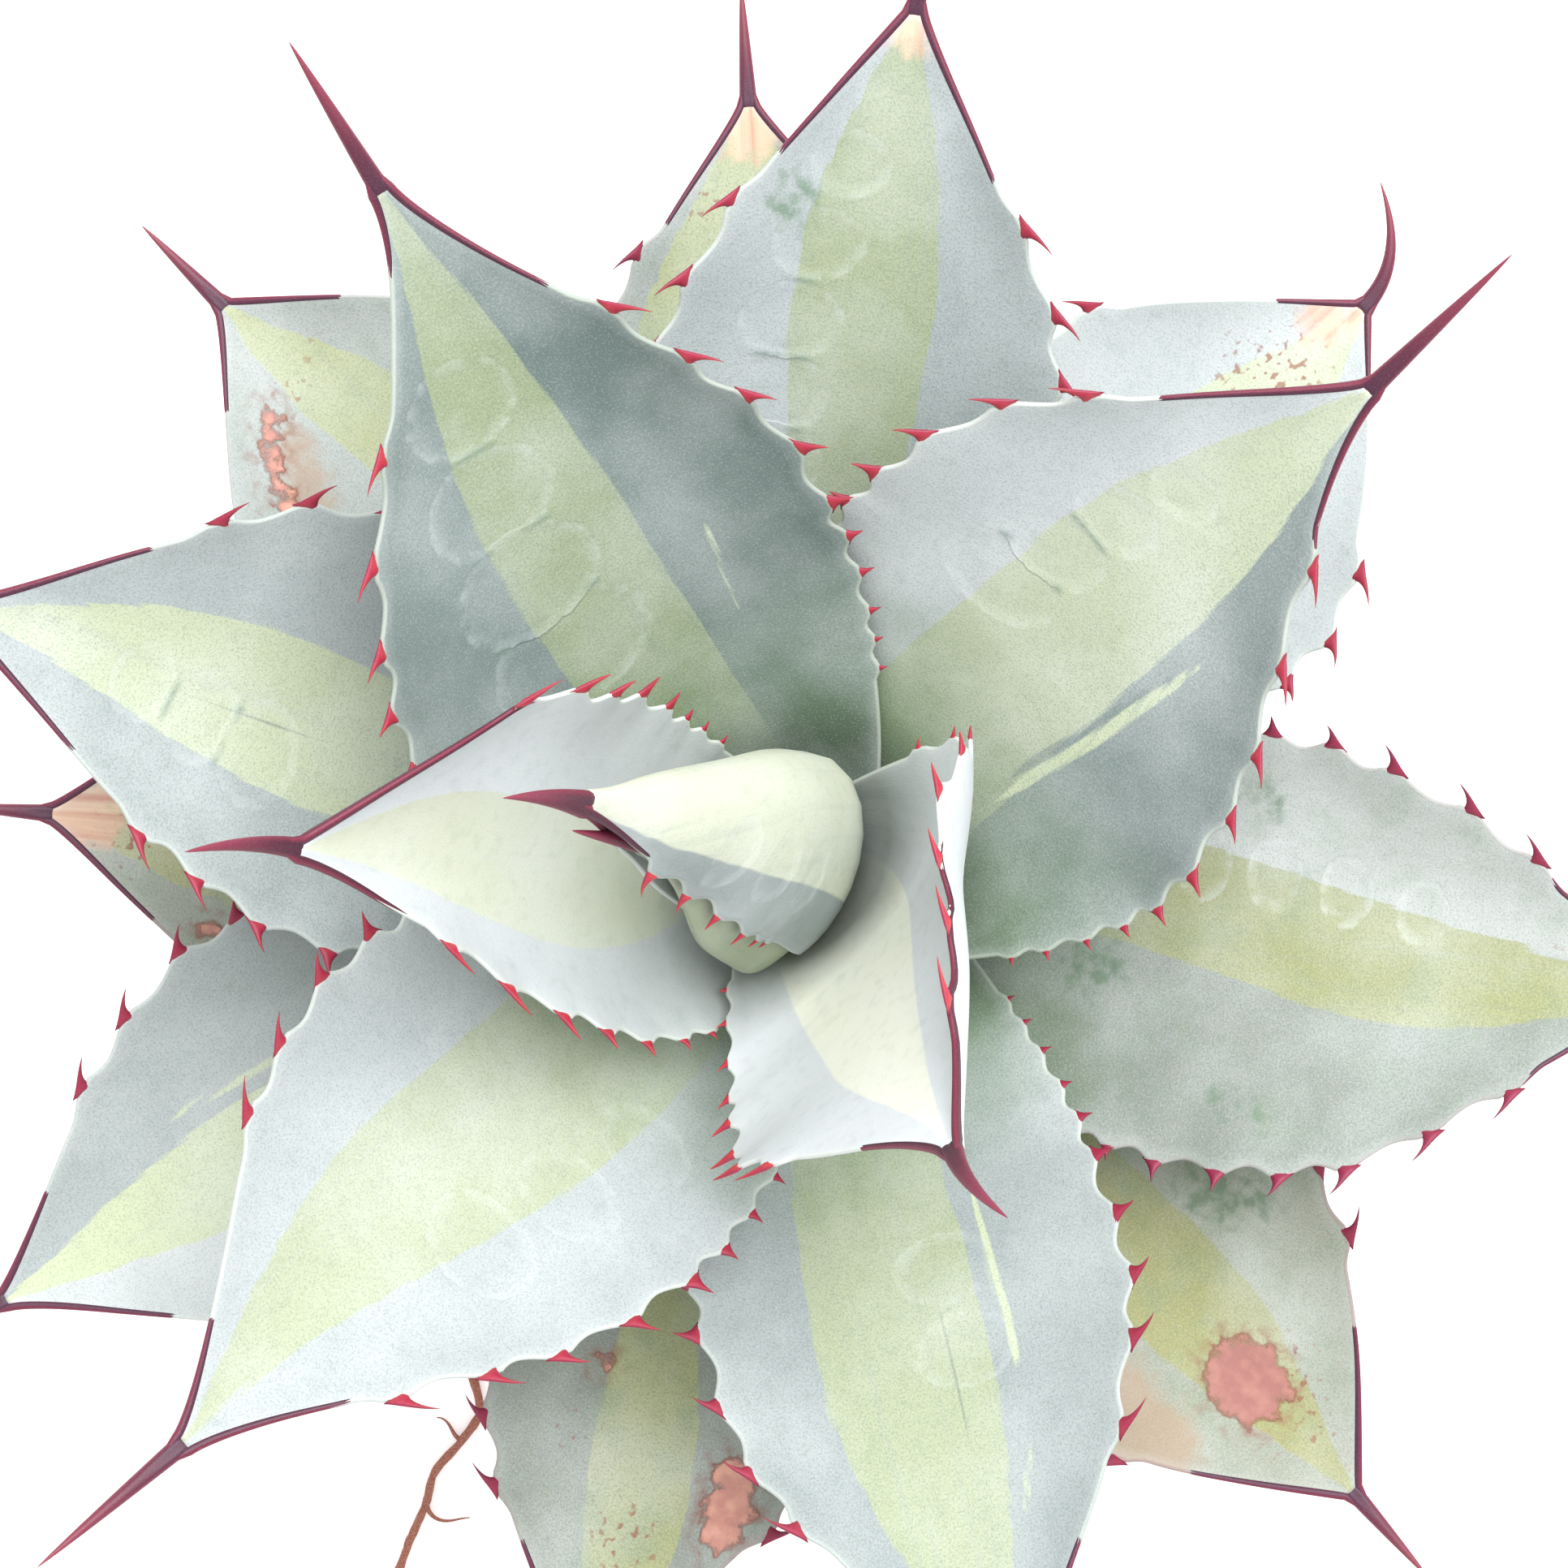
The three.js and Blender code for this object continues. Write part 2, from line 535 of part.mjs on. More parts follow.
function stemBody(swell) {
  const profile = [
    [0, -STEM_DEPTH - swell], [STEM_FOOT_RADIUS + swell, -STEM_DEPTH - swell],
    [STEM_RADIUS + STEM_BULGE + swell, -STEM_DEPTH / 2], [STEM_RADIUS + STEM_BULGE + swell, -STEM_SHOULDER],
    [stemRadius(STEM_TOP) + swell, STEM_TOP + swell], [0, STEM_TOP + swell],
  ];
  const points = profile.map(([x, y]) => new THREE.Vector2(x, y));
  return fromGeometry(new THREE.LatheGeometry(points, STEM_SIDES).rotateX(Math.PI / 2));
}

function budLean(t) {
  return BUD.lean * smooth((t - BUD.share + BUD.taper) / BUD.taper);
}

// The inner bud is a smooth spindle inside the outer rolled leaf. Its own folded edge fills the open
// strip, and its tip leans out there.
function budBody(swell) {
  const sides = 14;
  const rows = 8;
  const points = [];
  const faces = [];
  for (let row = 0; row <= rows; row += 1) {
    const t = (row / rows) * BUD.share;
    const taper = smooth((BUD.share - t) / BUD.taper);
    const room = heartRadius(t) - HEART.wall - 2 * GAP;
    const distance = room * lerp(BUD.tipShare, 1, taper) + swell;
    const lean = roundHeart(t, openStrip, budLean(t)).sub(roundHeart(t, openStrip, 0));
    for (let i = 0; i < sides; i += 1) {
      const turn = (2 * Math.PI * i) / sides;
      const off = Math.min(turn, 2 * Math.PI - turn) / rad(BUD.ridgeWidth);
      const ridge = BUD.ridge * taper * Math.exp(-off * off);
      points.push(roundHeart(t, openStrip + turn, distance + ridge).add(lean));
    }
  }
  for (let row = 0; row < rows; row += 1) {
    for (let i = 0; i < sides; i += 1) {
      const a = row * sides + i;
      const b = row * sides + ((i + 1) % sides);
      faces.push([a, b, b + sides]);
      faces.push([a, b + sides, a + sides]);
    }
  }
  for (let i = 1; i < sides - 1; i += 1) {
    faces.push([0, i + 1, i]);
    faces.push([rows * sides, rows * sides + i, rows * sides + i + 1]);
  }
  const body = solid(points, faces);
  return body.volume() < 0 ? solid(points, faces.map(([a, b, c]) => [a, c, b])) : body;
}

// The bud's own spine leans out of the open strip, under the main one.
function budSpine(swell) {
  const start = roundHeart(BUD.spineFrom, openStrip, budLean(BUD.spineFrom));
  const [bearing, distance] = BUD.spineAim;
  const heading = roundHeart(1, rad(bearing), distance).sub(start).normalize();
  const across = vec(-heading.y, heading.x, 0).normalize();
  const up = heading.clone().cross(across);
  const [wide, deep] = BUD.spineHalf;
  return horn(start, heading, across, up, BUD.spineLength + swell, 0, 0, wide + swell, deep + swell);
}

// The spine that ends a blade, from the end of the blade's axis.
function endSpine(axis, twist, spine, half) {
  const heading = axis.getTangent(1);
  const across = vec(-heading.y, heading.x, 0).normalize();
  const up = heading.clone().cross(across);
  across.applyAxisAngle(heading, rad(twist));
  up.applyAxisAngle(heading, rad(twist));
  const start = axis.getPoint(1).addScaledVector(heading, GAP);
  const [length, lift, swing] = spine;
  return horn(start, heading, across, up, length, lift, swing, half[0], half[1]);
}

function rootBody() {
  const route = new THREE.CatmullRomCurve3(ROOT_ROUTE.map((p) => vec(...p)), false, 'centripetal');
  const section = new THREE.Shape();
  const sides = 6;
  for (let i = 0; i < sides; i += 1) {
    const a = (2 * Math.PI * i) / sides;
    const x = ROOT_RADIUS * Math.cos(a);
    const y = ROOT_RADIUS * Math.sin(a);
    if (i === 0) {
      section.moveTo(x, y);
    } else {
      section.lineTo(x, y);
    }
  }
  const geometry = new THREE.ExtrudeGeometry(section, { steps: 44, extrudePath: route, bevelEnabled: false });
  return fromGeometry(geometry);
}

// Assembly

const plant = new THREE.Group();
const leafColumns = [-0.68, -0.34, 0, 0.34, 0.68];
const heartColumns = [-0.86, -0.7, -0.52, -0.35, -0.17, 0, 0.17, 0.35, 0.52, 0.7, 0.86];

const stem = stemBody(0);
const cutters = [stemBody(GAP)];
plant.add(meshOf('stem', stem, COLOURS.stem, 0.85));

cutters.push(budBody(TRIM));
cutters.push(budSpine(TRIM));
const bud = budBody(0).subtract(budSpine(GAP));
plant.add(meshOf('heart_inner', largest(bud), COLOURS.leaf, 0.55));
plant.add(meshOf('spine_heart_inner', budSpine(0), COLOURS.horn, 0.4));

const heartThickness = (t) => lerp(HEART.wall, HEART.tipWall, t);
const heartTeeth = teethOf(5, HEART.length, ...HEART.teeth);
const heartRule = (v) => (v > 0 ? [] : heartTeeth(v));
const heart = blade(heartSurface, heartThickness, heartColumns, heartRule);
plant.add(meshOf('heart_outer', largest(heart.subtract(wasm.Manifold.union(cutters))), COLOURS.leaf, 0.55));
cutters.push(blade(heartSurface, heartThickness, heartColumns, heartRule, TRIM));

LEAVES.forEach((leaf, index) => {
  const number = String(index + 1).padStart(2, '0');
  const length = leafAxis(leaf).getLength();
  const place = (t, v) => leafSurface(leaf, t, v);
  const thickness = (t) => lerp(leafBaseThickness(leaf.rise), LEAF_TIP_THICKNESS, t);
  const teeth = teethOf(index, length, TEETH_FROM, TEETH_TO);
  const whole = blade(place, thickness, leafColumns, teeth);
  const trimmed = largest(whole.subtract(wasm.Manifold.union(cutters)));
  plant.add(meshOf(`leaf_${number}`, trimmed, COLOURS.leaf, 0.55));
  cutters.push(blade(place, thickness, leafColumns, teeth, TRIM));
});

const heartSpine = endSpine(heartAxis(), 0, HEART.spine, HEART.spineHalf);
plant.add(meshOf('spine_heart_outer', heartSpine, COLOURS.horn, 0.4));
LEAVES.forEach((leaf, index) => {
  const number = String(index + 1).padStart(2, '0');
  const body = endSpine(leafAxis(leaf), leaf.twist, leaf.spine, SPINE_HALF);
  plant.add(meshOf(`spine_${number}`, body, COLOURS.horn, 0.4));
});

plant.position.z = CROWN_Z;

const part = new THREE.Group();
part.add(meshOf('pot', potBody(), COLOURS.terracotta, 0.9));
part.add(meshOf('soil', soilBody(), COLOURS.soil, 0.95));
part.add(meshOf('root', rootBody(), COLOURS.root, 0.8));
part.add(plant);

// The spread of the leaves and the root decides where the middle is.
part.updateMatrixWorld(true);
const spread = new THREE.Box3().setFromObject(part, true);
part.position.x = -(spread.min.x + spread.max.x) / 2;
part.position.y = -(spread.min.y + spread.max.y) / 2;

export default part;
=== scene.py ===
# A potted agave of the species Agave parryi, in its form with a pale middle stripe, seen from above.
# Grey-green blades with crimson hooked teeth and mahogany end spines stand round a rolled heart, on a
# short stem in a terracotta pot. Sizes are in millimetres from the stem's axis at the crown's level.

import math
from functools import partial

import bpy
import numpy as np
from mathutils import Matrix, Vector


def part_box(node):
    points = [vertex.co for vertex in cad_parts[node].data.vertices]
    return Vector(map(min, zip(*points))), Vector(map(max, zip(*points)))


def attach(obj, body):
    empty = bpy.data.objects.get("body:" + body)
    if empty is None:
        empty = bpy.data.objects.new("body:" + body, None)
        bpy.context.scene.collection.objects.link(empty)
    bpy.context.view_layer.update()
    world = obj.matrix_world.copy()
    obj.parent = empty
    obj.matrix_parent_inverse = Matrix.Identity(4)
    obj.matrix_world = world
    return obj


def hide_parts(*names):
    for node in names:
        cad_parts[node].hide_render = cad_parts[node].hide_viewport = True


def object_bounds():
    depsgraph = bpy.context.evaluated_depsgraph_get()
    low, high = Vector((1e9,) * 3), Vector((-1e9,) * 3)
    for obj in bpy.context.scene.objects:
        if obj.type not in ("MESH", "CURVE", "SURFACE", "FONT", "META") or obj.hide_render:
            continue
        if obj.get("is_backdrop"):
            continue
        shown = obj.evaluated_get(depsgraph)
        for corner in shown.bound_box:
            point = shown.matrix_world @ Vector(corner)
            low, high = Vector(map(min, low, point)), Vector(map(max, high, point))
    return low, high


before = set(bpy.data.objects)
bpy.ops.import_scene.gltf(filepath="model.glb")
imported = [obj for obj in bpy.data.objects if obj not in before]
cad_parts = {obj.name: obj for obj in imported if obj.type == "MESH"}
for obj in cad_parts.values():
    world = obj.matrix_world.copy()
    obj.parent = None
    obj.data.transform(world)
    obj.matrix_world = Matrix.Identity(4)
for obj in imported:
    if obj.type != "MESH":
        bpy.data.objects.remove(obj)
cad_box = [list(corner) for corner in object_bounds()]

MM = 0.001
pot_low, pot_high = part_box("pot")
AXIS_X = (pot_low.x + pot_high.x) / 2
AXIS_Y = (pot_low.y + pot_high.y) / 2
CROWN_OVER_RIM = 4
CROWN_Z = pot_high.z + CROWN_OVER_RIM * MM


def put_in_scene(name, data):
    made = bpy.data.objects.new(name, data)
    bpy.context.scene.collection.objects.link(made)
    return made


# The camera hangs straight above the rosette, a little off the stem's axis, and looks down. The
# photograph's upper edge is +Y. Its view is narrow, so that the leaves hardly spread with height.

CAMERA_OVER_CROWN = 620
CAMERA_OFFSET = (-2.7, 15.3)
SENSOR_WIDTH = 36
LENS = 77.0

camera_data = bpy.data.cameras.new("camera")
camera_data.sensor_width = SENSOR_WIDTH
camera_data.lens = LENS
camera = put_in_scene("camera", camera_data)
camera.location = (
    AXIS_X + CAMERA_OFFSET[0] * MM,
    AXIS_Y + CAMERA_OFFSET[1] * MM,
    CROWN_Z + CAMERA_OVER_CROWN * MM,
)
bpy.context.scene.camera = camera


# The studio: a sweep of opal white plastic that glows a little by its own emission, a painted glow in place
# of a lamp below it, a bright sky all round, and one broad soft lamp that hangs high behind the rosette. The
# sweep comes out pure white.

SKY_STRENGTH = 1.05
LAMP_POWER = 30
LAMP_SIZE = 1.2
LAMP_PLACE = (0.3, 0.6, 1.5)
SWEEP_HALF = 6.0
SWEEP_LOOK = {
    "Base Color": (0.93, 0.93, 0.93, 1),
    "Roughness": 0.9,
    "Specular IOR Level": 0.0,
    # painted light: the sweep's own glow stands in for a lamp below it, so that its shaded parts come out
    # white too
    "Emission Color": (1, 1, 1, 1),
    "Emission Strength": 0.3,
}

world = bpy.data.worlds.new("sky")
bpy.context.scene.world = world
world.use_nodes = True
world.node_tree.nodes["Background"].inputs["Color"].default_value = (1, 1, 1, 1)
world.node_tree.nodes["Background"].inputs["Strength"].default_value = SKY_STRENGTH

lamp_data = bpy.data.lights.new("soft_lamp", "AREA")
lamp_data.energy = LAMP_POWER
lamp_data.size = LAMP_SIZE
lamp = put_in_scene("soft_lamp", lamp_data)
lamp.location = LAMP_PLACE
towards_plant = Vector((AXIS_X, AXIS_Y, CROWN_Z)) - Vector(LAMP_PLACE)
lamp.rotation_euler = towards_plant.to_track_quat("-Z", "Y").to_euler()

sweep_mesh = bpy.data.meshes.new("sweep")
corners = [(SWEEP_HALF * x, SWEEP_HALF * y, 0) for x, y in ((-1, -1), (1, -1), (1, 1), (-1, 1))]
sweep_mesh.from_pydata(corners, [], [(0, 1, 2, 3)])
sweep = put_in_scene("sweep", sweep_mesh)
sweep_paint = bpy.data.materials.new("white_sweep")
sweep_paint.use_nodes = True
for key, value in SWEEP_LOOK.items():
    sweep_paint.node_tree.nodes["Principled BSDF"].inputs[key].default_value = value
sweep_mesh.materials.append(sweep_paint)
sweep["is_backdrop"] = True

bpy.context.scene.view_settings.view_transform = "Standard"


# The pot is a thrown flowerpot of unglazed terracotta with a rim band, fired to an orange brown. Its
# mouth and band edges are rounded by the thrower's sponge, and lime from the water clouds its wall.

POT_HEIGHT = 130
POT_RIM_RADIUS = 76
POT_RIM_DROP = 2
POT_BAND_HEIGHT = 28
POT_BAND_STEP = 5
POT_FOOT_RADIUS = 50
POT_WALL = 6
POT_FLOOR = 8
DRAIN_RADIUS = 8
POT_SIDES = 144
THROWING_RING = 0.18  # depth of the fine rings that the thrower's fingers leave
THROWING_STEP = 3.4

TERRACOTTA = "#9c5b40"
TERRACOTTA_PALE = "#b27f63"
LIME = "#cfbba8"
LIME_CLOUD = 6.8
CLAY_GRIT = 0.18


def linear(hex_code):
    values = [int(hex_code[i : i + 2], 16) / 255 for i in (1, 3, 5)]
    tones = [v / 12.92 if v <= 0.04045 else ((v + 0.055) / 1.055) ** 2.4 for v in values]
    return (*tones, 1)


def node(tree, kind, *inputs, out=0, **named):
    """Adds a shader node and returns one of its outputs. Values in order, and names that begin with a
    capital, are inputs to link or set, with a colour given as its code. Other names are settings. A
    kind in capitals is a Math operation."""
    made = tree.nodes.new("ShaderNode" + ("Math" if kind.isupper() else kind))
    if kind.isupper():
        made.operation = kind
    sockets = dict(enumerate(inputs))
    for name, value in named.items():
        if name[0].isupper():
            sockets[name] = value
        else:
            setattr(made, name, value)
    for socket, value in sockets.items():
        if isinstance(value, bpy.types.NodeSocket):
            tree.links.new(value, made.inputs[socket])
        else:
            made.inputs[socket].default_value = linear(value) if isinstance(value, str) else value
    return made.outputs[out]


def new_material(name, roughness, specular):
    """A material, and the function that adds nodes to it."""
    material = bpy.data.materials.new(name)
    material.use_nodes = True
    shader = material.node_tree.nodes["Principled BSDF"]
    shader.inputs["Roughness"].default_value = roughness
    shader.inputs["Specular IOR Level"].default_value = specular
    return material, partial(node, material.node_tree)


def finished(material, colour, relief=None):
    """The material with its colour and its relief linked to the shader."""
    tree = material.node_tree
    shader = tree.nodes["Principled BSDF"]
    tree.links.new(colour, shader.inputs["Base Color"])
    if relief is not None:
        tree.links.new(relief, shader.inputs["Normal"])
    return material


def mesh_object(name, points, faces, material, values=None, uv=None):
    """A mesh from points in millimetres, with a float attribute for each list of values."""
    mesh = bpy.data.meshes.new(name)
    placed = np.asarray(points) * MM + np.array([AXIS_X, AXIS_Y, CROWN_Z])
    mesh.from_pydata(placed.tolist(), [], [list(face) for face in faces])
    for key, data in (values or {}).items():
        data = np.asarray(data, np.float32)
        kind = "FLOAT_VECTOR" if data.ndim == 2 else "FLOAT"
        field = "vector" if data.ndim == 2 else "value"
        mesh.attributes.new(key, kind, "POINT").data.foreach_set(field, data.ravel())
    if uv is not None:
        mesh.uv_layers.new(name="OFBake").data.foreach_set("uv", np.asarray(uv, np.float32).ravel())
    mesh.polygons.foreach_set("use_smooth", [True] * len(mesh.polygons))
    mesh.materials.append(material)
    return put_in_scene(name, mesh)


def full_turn(sides):
    return np.linspace(0, 2 * np.pi, sides, endpoint=False)


def ring_faces(rows, sides, first=0):
    """Quads between rings of points that follow each other, with both ends closed."""
    start = first + np.arange(rows - 1)[:, None] * sides
    here = np.arange(sides)[None, :]
    after = (np.arange(sides)[None, :] + 1) % sides
    quads = np.stack([start + here, start + after, start + sides + after, start + sides + here], -1)
    faces = quads.reshape(-1, 4).tolist()
    faces.append(list(range(first + sides - 1, first - 1, -1)))
    faces.append(list(range(first + (rows - 1) * sides, first + rows * sides)))
    return faces


def lathe(profile, sides):
    """Points and faces of a closed profile of (radius, height) turned round the axis."""
    profile = np.asarray(profile, float)
    turn = full_turn(sides)
    x = profile[:, 0, None] * np.cos(turn)
    y = profile[:, 0, None] * np.sin(turn)
    z = np.broadcast_to(profile[:, 1, None], x.shape)
    rows = len(profile)
    here = np.arange(rows)[:, None] * sides + np.arange(sides)
    along = np.roll(here, -1, 1)
    up = np.roll(here, -1, 0)
    faces = np.stack([here, along, np.roll(up, -1, 1), up], -1).reshape(-1, 4)
    return np.stack([x, y, z], -1).reshape(-1, 3), faces.tolist()


def rounded(corner_before, corner, corner_after, radius, steps=5):
    """Points of a rounded corner between two straight runs of a profile."""
    corner = np.array(corner, float)
    from_side = np.array(corner_before, float) - corner
    to_side = np.array(corner_after, float) - corner
    a = corner + from_side / np.linalg.norm(from_side) * radius
    b = corner + to_side / np.linalg.norm(to_side) * radius
    k = np.linspace(0, 1, steps)[:, None]
    return ((1 - k) ** 2 * a + 2 * k * (1 - k) * corner + k * k * b).tolist()


def fired_clay():
    """Unglazed fired terracotta: matt and porous, with fine grit and cloudy lime."""
    material, add = new_material("fired_terracotta", 0.88, 0.25)
    place = add("NewGeometry")
    clouds = add("TexNoise", place, Scale=1 / (LIME_CLOUD * MM), Detail=6, Roughness=0.62)
    grit = add("TexNoise", place, Scale=1 / (CLAY_GRIT * MM), Detail=2)
    body = add("MixRGB", add("MapRange", grit, 0.35, 0.75), TERRACOTTA, TERRACOTTA_PALE)
    washed = add("MixRGB", add("MapRange", clouds, 0.5, 0.8, 0, 0.45), body, LIME)
    return finished(material, washed, add("Bump", Height=grit, Strength=0.5, Distance=0.25 * MM))


def pot_profile():
    band_foot = POT_HEIGHT - POT_BAND_HEIGHT
    wall_top = POT_RIM_RADIUS - POT_RIM_DROP - POT_BAND_STEP
    slope = (wall_top - POT_FOOT_RADIUS) / band_foot
    inner_foot = POT_FOOT_RADIUS + slope * POT_FLOOR - POT_WALL
    lip = POT_RIM_RADIUS - POT_WALL
    outline = [(DRAIN_RADIUS, 0)]
    outline += rounded((DRAIN_RADIUS, 0), (POT_FOOT_RADIUS, 0), (wall_top, band_foot), 2.0)
    for height in np.arange(3, band_foot - 1, THROWING_STEP / 4):
        ring = THROWING_RING * (math.cos(2 * math.pi * height / THROWING_STEP) - 1)
        outline.append((POT_FOOT_RADIUS + slope * height + ring, height))
    outline += [(wall_top, band_foot - 0.4), (wall_top + 0.6, band_foot)]
    band_low = (POT_RIM_RADIUS - POT_RIM_DROP, band_foot)
    band_high = (POT_RIM_RADIUS, POT_HEIGHT)
    outline += rounded((wall_top, band_foot), band_low, band_high, 1.8)
    for share in np.linspace(0.12, 0.88, 24):
        radius = band_low[0] + share * POT_RIM_DROP
        ring = 0.6 * THROWING_RING * (math.cos(60 * share) - 1)
        outline.append((radius + ring, band_foot + share * POT_BAND_HEIGHT))
    outline += rounded(band_low, band_high, (lip, POT_HEIGHT), 2.6)
    outline += rounded(band_high, (lip - 0.6, POT_HEIGHT), (lip - 2, POT_HEIGHT - 3), 2.2)
    outline += [(lip - 2, POT_HEIGHT - 4), (inner_foot, POT_FLOOR), (DRAIN_RADIUS, POT_FLOOR)]
    return [(radius, height - POT_HEIGHT - CROWN_OVER_RIM) for radius, height in outline]


pot_points, pot_faces = lathe(pot_profile(), POT_SIDES)
pot = mesh_object("pot_fired", pot_points, pot_faces, fired_clay())
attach(pot, "root")
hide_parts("pot")


# The soil is a gritty potting mix, crumbly and dark, that carries a loose dressing of small angular
# stones up to the stem, so that the leaf bases stay dry.

SOIL_DROP = 12
SOIL_HALF = 62
STONES = 620
STONE_SMALL = 1.3
STONE_LARGE = 3.4
STONE_RINGS = 5
STONE_SIDES = 8
STONE_LIFT = 0.25  # how far a stone's middle lies over the dressing's bed, against its size
DRESSING_RISE = 1.5  # how much higher the bed lies by the stem than at the wall
STEM_CLEAR = 25
SOIL_DARK = "#4a3a2e"
SOIL_PALE = "#6d5a48"
SOIL_CRUMB = 0.44
STONE_COLOURS = ((0, "#b9ac98"), (0.35, "#8f877c"), (0.6, "#d5cbb8"), (0.82, "#a07f66"))
STONE_GLINT = "#efe8da"
STONE_SPECKLE = 0.14


def potting_soil():
    """Peat and coarse sand: rough, matt and dark, with crumbs of half a millimetre."""
    material, add = new_material("potting_soil", 0.95, 0.15)
    grain = add("TexNoise", add("NewGeometry"), Scale=1 / (SOIL_CRUMB * MM), Detail=5, Roughness=0.7)
    tone = add("MixRGB", grain, SOIL_DARK, SOIL_PALE)
    return finished(material, tone, add("Bump", Height=grain, Strength=1.0, Distance=1.2 * MM))


def put_on_ramp(ramp, stops):
    """Puts stops of (place, colour) on a new ramp. Its own two become the first and the last."""
    for element, (place, colour) in zip(ramp.elements, (stops[0], stops[-1])):
        element.position = place
        element.color = linear(colour)
    for place, colour in stops[1:-1]:
        ramp.elements.new(place).color = linear(colour)


def crushed_stone():
    """Crushed quartz and lava: matt angular stones, each of its own tone, with a fine pale speckle."""
    material, add = new_material("crushed_stone", 0.8, 0.3)
    tone = add("ValToRGB", add("Attribute", out="Fac", attribute_name="tone"))
    put_on_ramp(tone.node.color_ramp, STONE_COLOURS)
    tone.node.color_ramp.interpolation = "CONSTANT"
    speckle = add("TexNoise", add("NewGeometry"), Scale=1 / (STONE_SPECKLE * MM), Detail=3)
    return finished(material, add("MixRGB", add("MapRange", speckle, 0.4, 0.7), tone, STONE_GLINT))


def stone_points(rng, centre, size):
    """An angular stone: a rough ball of rings, squeezed and turned."""
    polar = np.linspace(0.35, np.pi - 0.35, STONE_RINGS)
    turn = full_turn(STONE_SIDES) + rng.uniform(0, 1)
    x = np.sin(polar)[:, None] * np.cos(turn)
    y = np.sin(polar)[:, None] * np.sin(turn)
    z = np.broadcast_to(np.cos(polar)[:, None], x.shape)
    ball = np.stack([x, y, z], -1).reshape(-1, 3)
    ball *= (1 + rng.uniform(-0.16, 0.16, len(ball)))[:, None]
    ball *= rng.uniform((0.75, 0.6, 0.5), (1.15, 1.0, 0.8))
    angle = rng.uniform(0, 2 * np.pi)
    c, s = math.cos(angle), math.sin(angle)
    return ball @ np.array([[c, s, 0], [-s, c, 0], [0, 0, 1]]) * size + centre


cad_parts["soil"].data.materials.clear()
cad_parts["soil"].data.materials.append(potting_soil())

bed = -SOIL_DROP - CROWN_OVER_RIM
stone_rng = np.random.default_rng(11)
stone_size = STONE_RINGS * STONE_SIDES
stone_meshes, stone_faces, stone_tones = [], [], []
for i in range(STONES):
    reach = math.sqrt(stone_rng.uniform(STEM_CLEAR**2, SOIL_HALF**2))
    bearing = stone_rng.uniform(0, 2 * math.pi)
    size = stone_rng.uniform(STONE_SMALL, STONE_LARGE)
    height = bed + DRESSING_RISE * (1 - reach / SOIL_HALF) + STONE_LIFT * size
    centre = np.array([reach * math.cos(bearing), reach * math.sin(bearing), height])
    stone_meshes.append(stone_points(stone_rng, centre, size))
    stone_faces += ring_faces(STONE_RINGS, STONE_SIDES, first=stone_size * i)
    stone_tones += [stone_rng.uniform(0, 1)] * stone_size
stones = mesh_object(
    "top_dressing", np.concatenate(stone_meshes), stone_faces, crushed_stone(), {"tone": stone_tones}
)
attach(stones, "root")


# The stem is the short woody core that every leaf grows from. Where the oldest leaves have come off
# it shows their scars, as dry pale rings with fibrous edges.

STEM_RADIUS = 20
STEM_TAPER = 0.27
STEM_TOP = 46
STEM_DEPTH = 48
STEM_FOOT_RADIUS = 14
STEM_SIDES = 96
SCAR_STEP = 4.5
SCAR_DEPTH = 0.9
SCARS = (-20, -4)  # between these heights
BARK = "#a99371"
BARK_DARK = "#6b5439"
FIBRES_PER_METRE = (1500, 1500, 4500)  # across, and along the stem


def stem_bark():
    """Dry leaf scars on the stem: matt tan fibre with dark cracks between the rings."""
    material, add = new_material("stem_bark", 0.9, 0.2)
    squeezed = add("VectorMath", add("NewGeometry"), FIBRES_PER_METRE, operation="MULTIPLY")
    fibre = add("TexNoise", squeezed, Scale=1.0, Detail=6, Roughness=0.65)
    tone = add("MixRGB", add("MapRange", fibre, 0.35, 0.65), BARK_DARK, BARK)
    return finished(material, tone, add("Bump", Height=fibre, Strength=0.8, Distance=0.6 * MM))


def stem_profile():
    outline = [(0.5, -STEM_DEPTH), (STEM_FOOT_RADIUS, -STEM_DEPTH), (STEM_RADIUS - 0.5, -STEM_DEPTH / 2)]
    for height in np.arange(*SCARS, 0.75):
        scar = SCAR_DEPTH * abs(math.sin(math.pi * height / SCAR_STEP)) - 2 / 3 * SCAR_DEPTH
        outline.append((STEM_RADIUS + scar, height))
    for height in np.arange(SCARS[1], STEM_TOP, 2):
        outline.append((STEM_RADIUS - STEM_TAPER * height, height))
    outline += [(STEM_RADIUS - STEM_TAPER * STEM_TOP, STEM_TOP), (0.5, STEM_TOP)]
    return outline


stem_points, stem_faces = lathe(stem_profile(), STEM_SIDES)
stem = mesh_object("stem_scarred", stem_points, stem_faces, stem_bark())
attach(stem, "root")
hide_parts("stem")


# The blades are thick flesh with a leathery skin under a bloom of pale wax. Each grows from the stem
# as a curved gutter, and its margin steps out to a fleshy bump under every tooth.

ROOT_SUNK = 2.5
AXIS_HANDLE = 0.42  # length of a blade's first straight run against its span
BLADE_END_HALF_WIDTH = 1.8
LEAF_BASE_THICKNESS = 6
LEAF_THINNING = 0.035
LEAF_TIP_THICKNESS = 2.6
MARGIN_THICKNESS = 0.7
PROMINENCE = 1.9
TOOTH_LENGTH = 4.6
TOOTH_ROOT = 3.2
TOOTH_STEP = 11
FIRST_TOOTH_STEP = 5
TEETH_FROM = 0.24
TEETH_TO = 0.84
BLADE_ROWS = 190
UPPER_COLUMNS = 58
LOWER_COLUMNS = 22
MARGIN_WAVE = 0.5
MARGIN_WAVE_STEP = 31
PRINT_SQUASH = 1.45  # how much wider than long the prints of the bud are
EDGE_CROWDING = (1.45, 1.35)  # how closely the columns of each face crowd to the margins
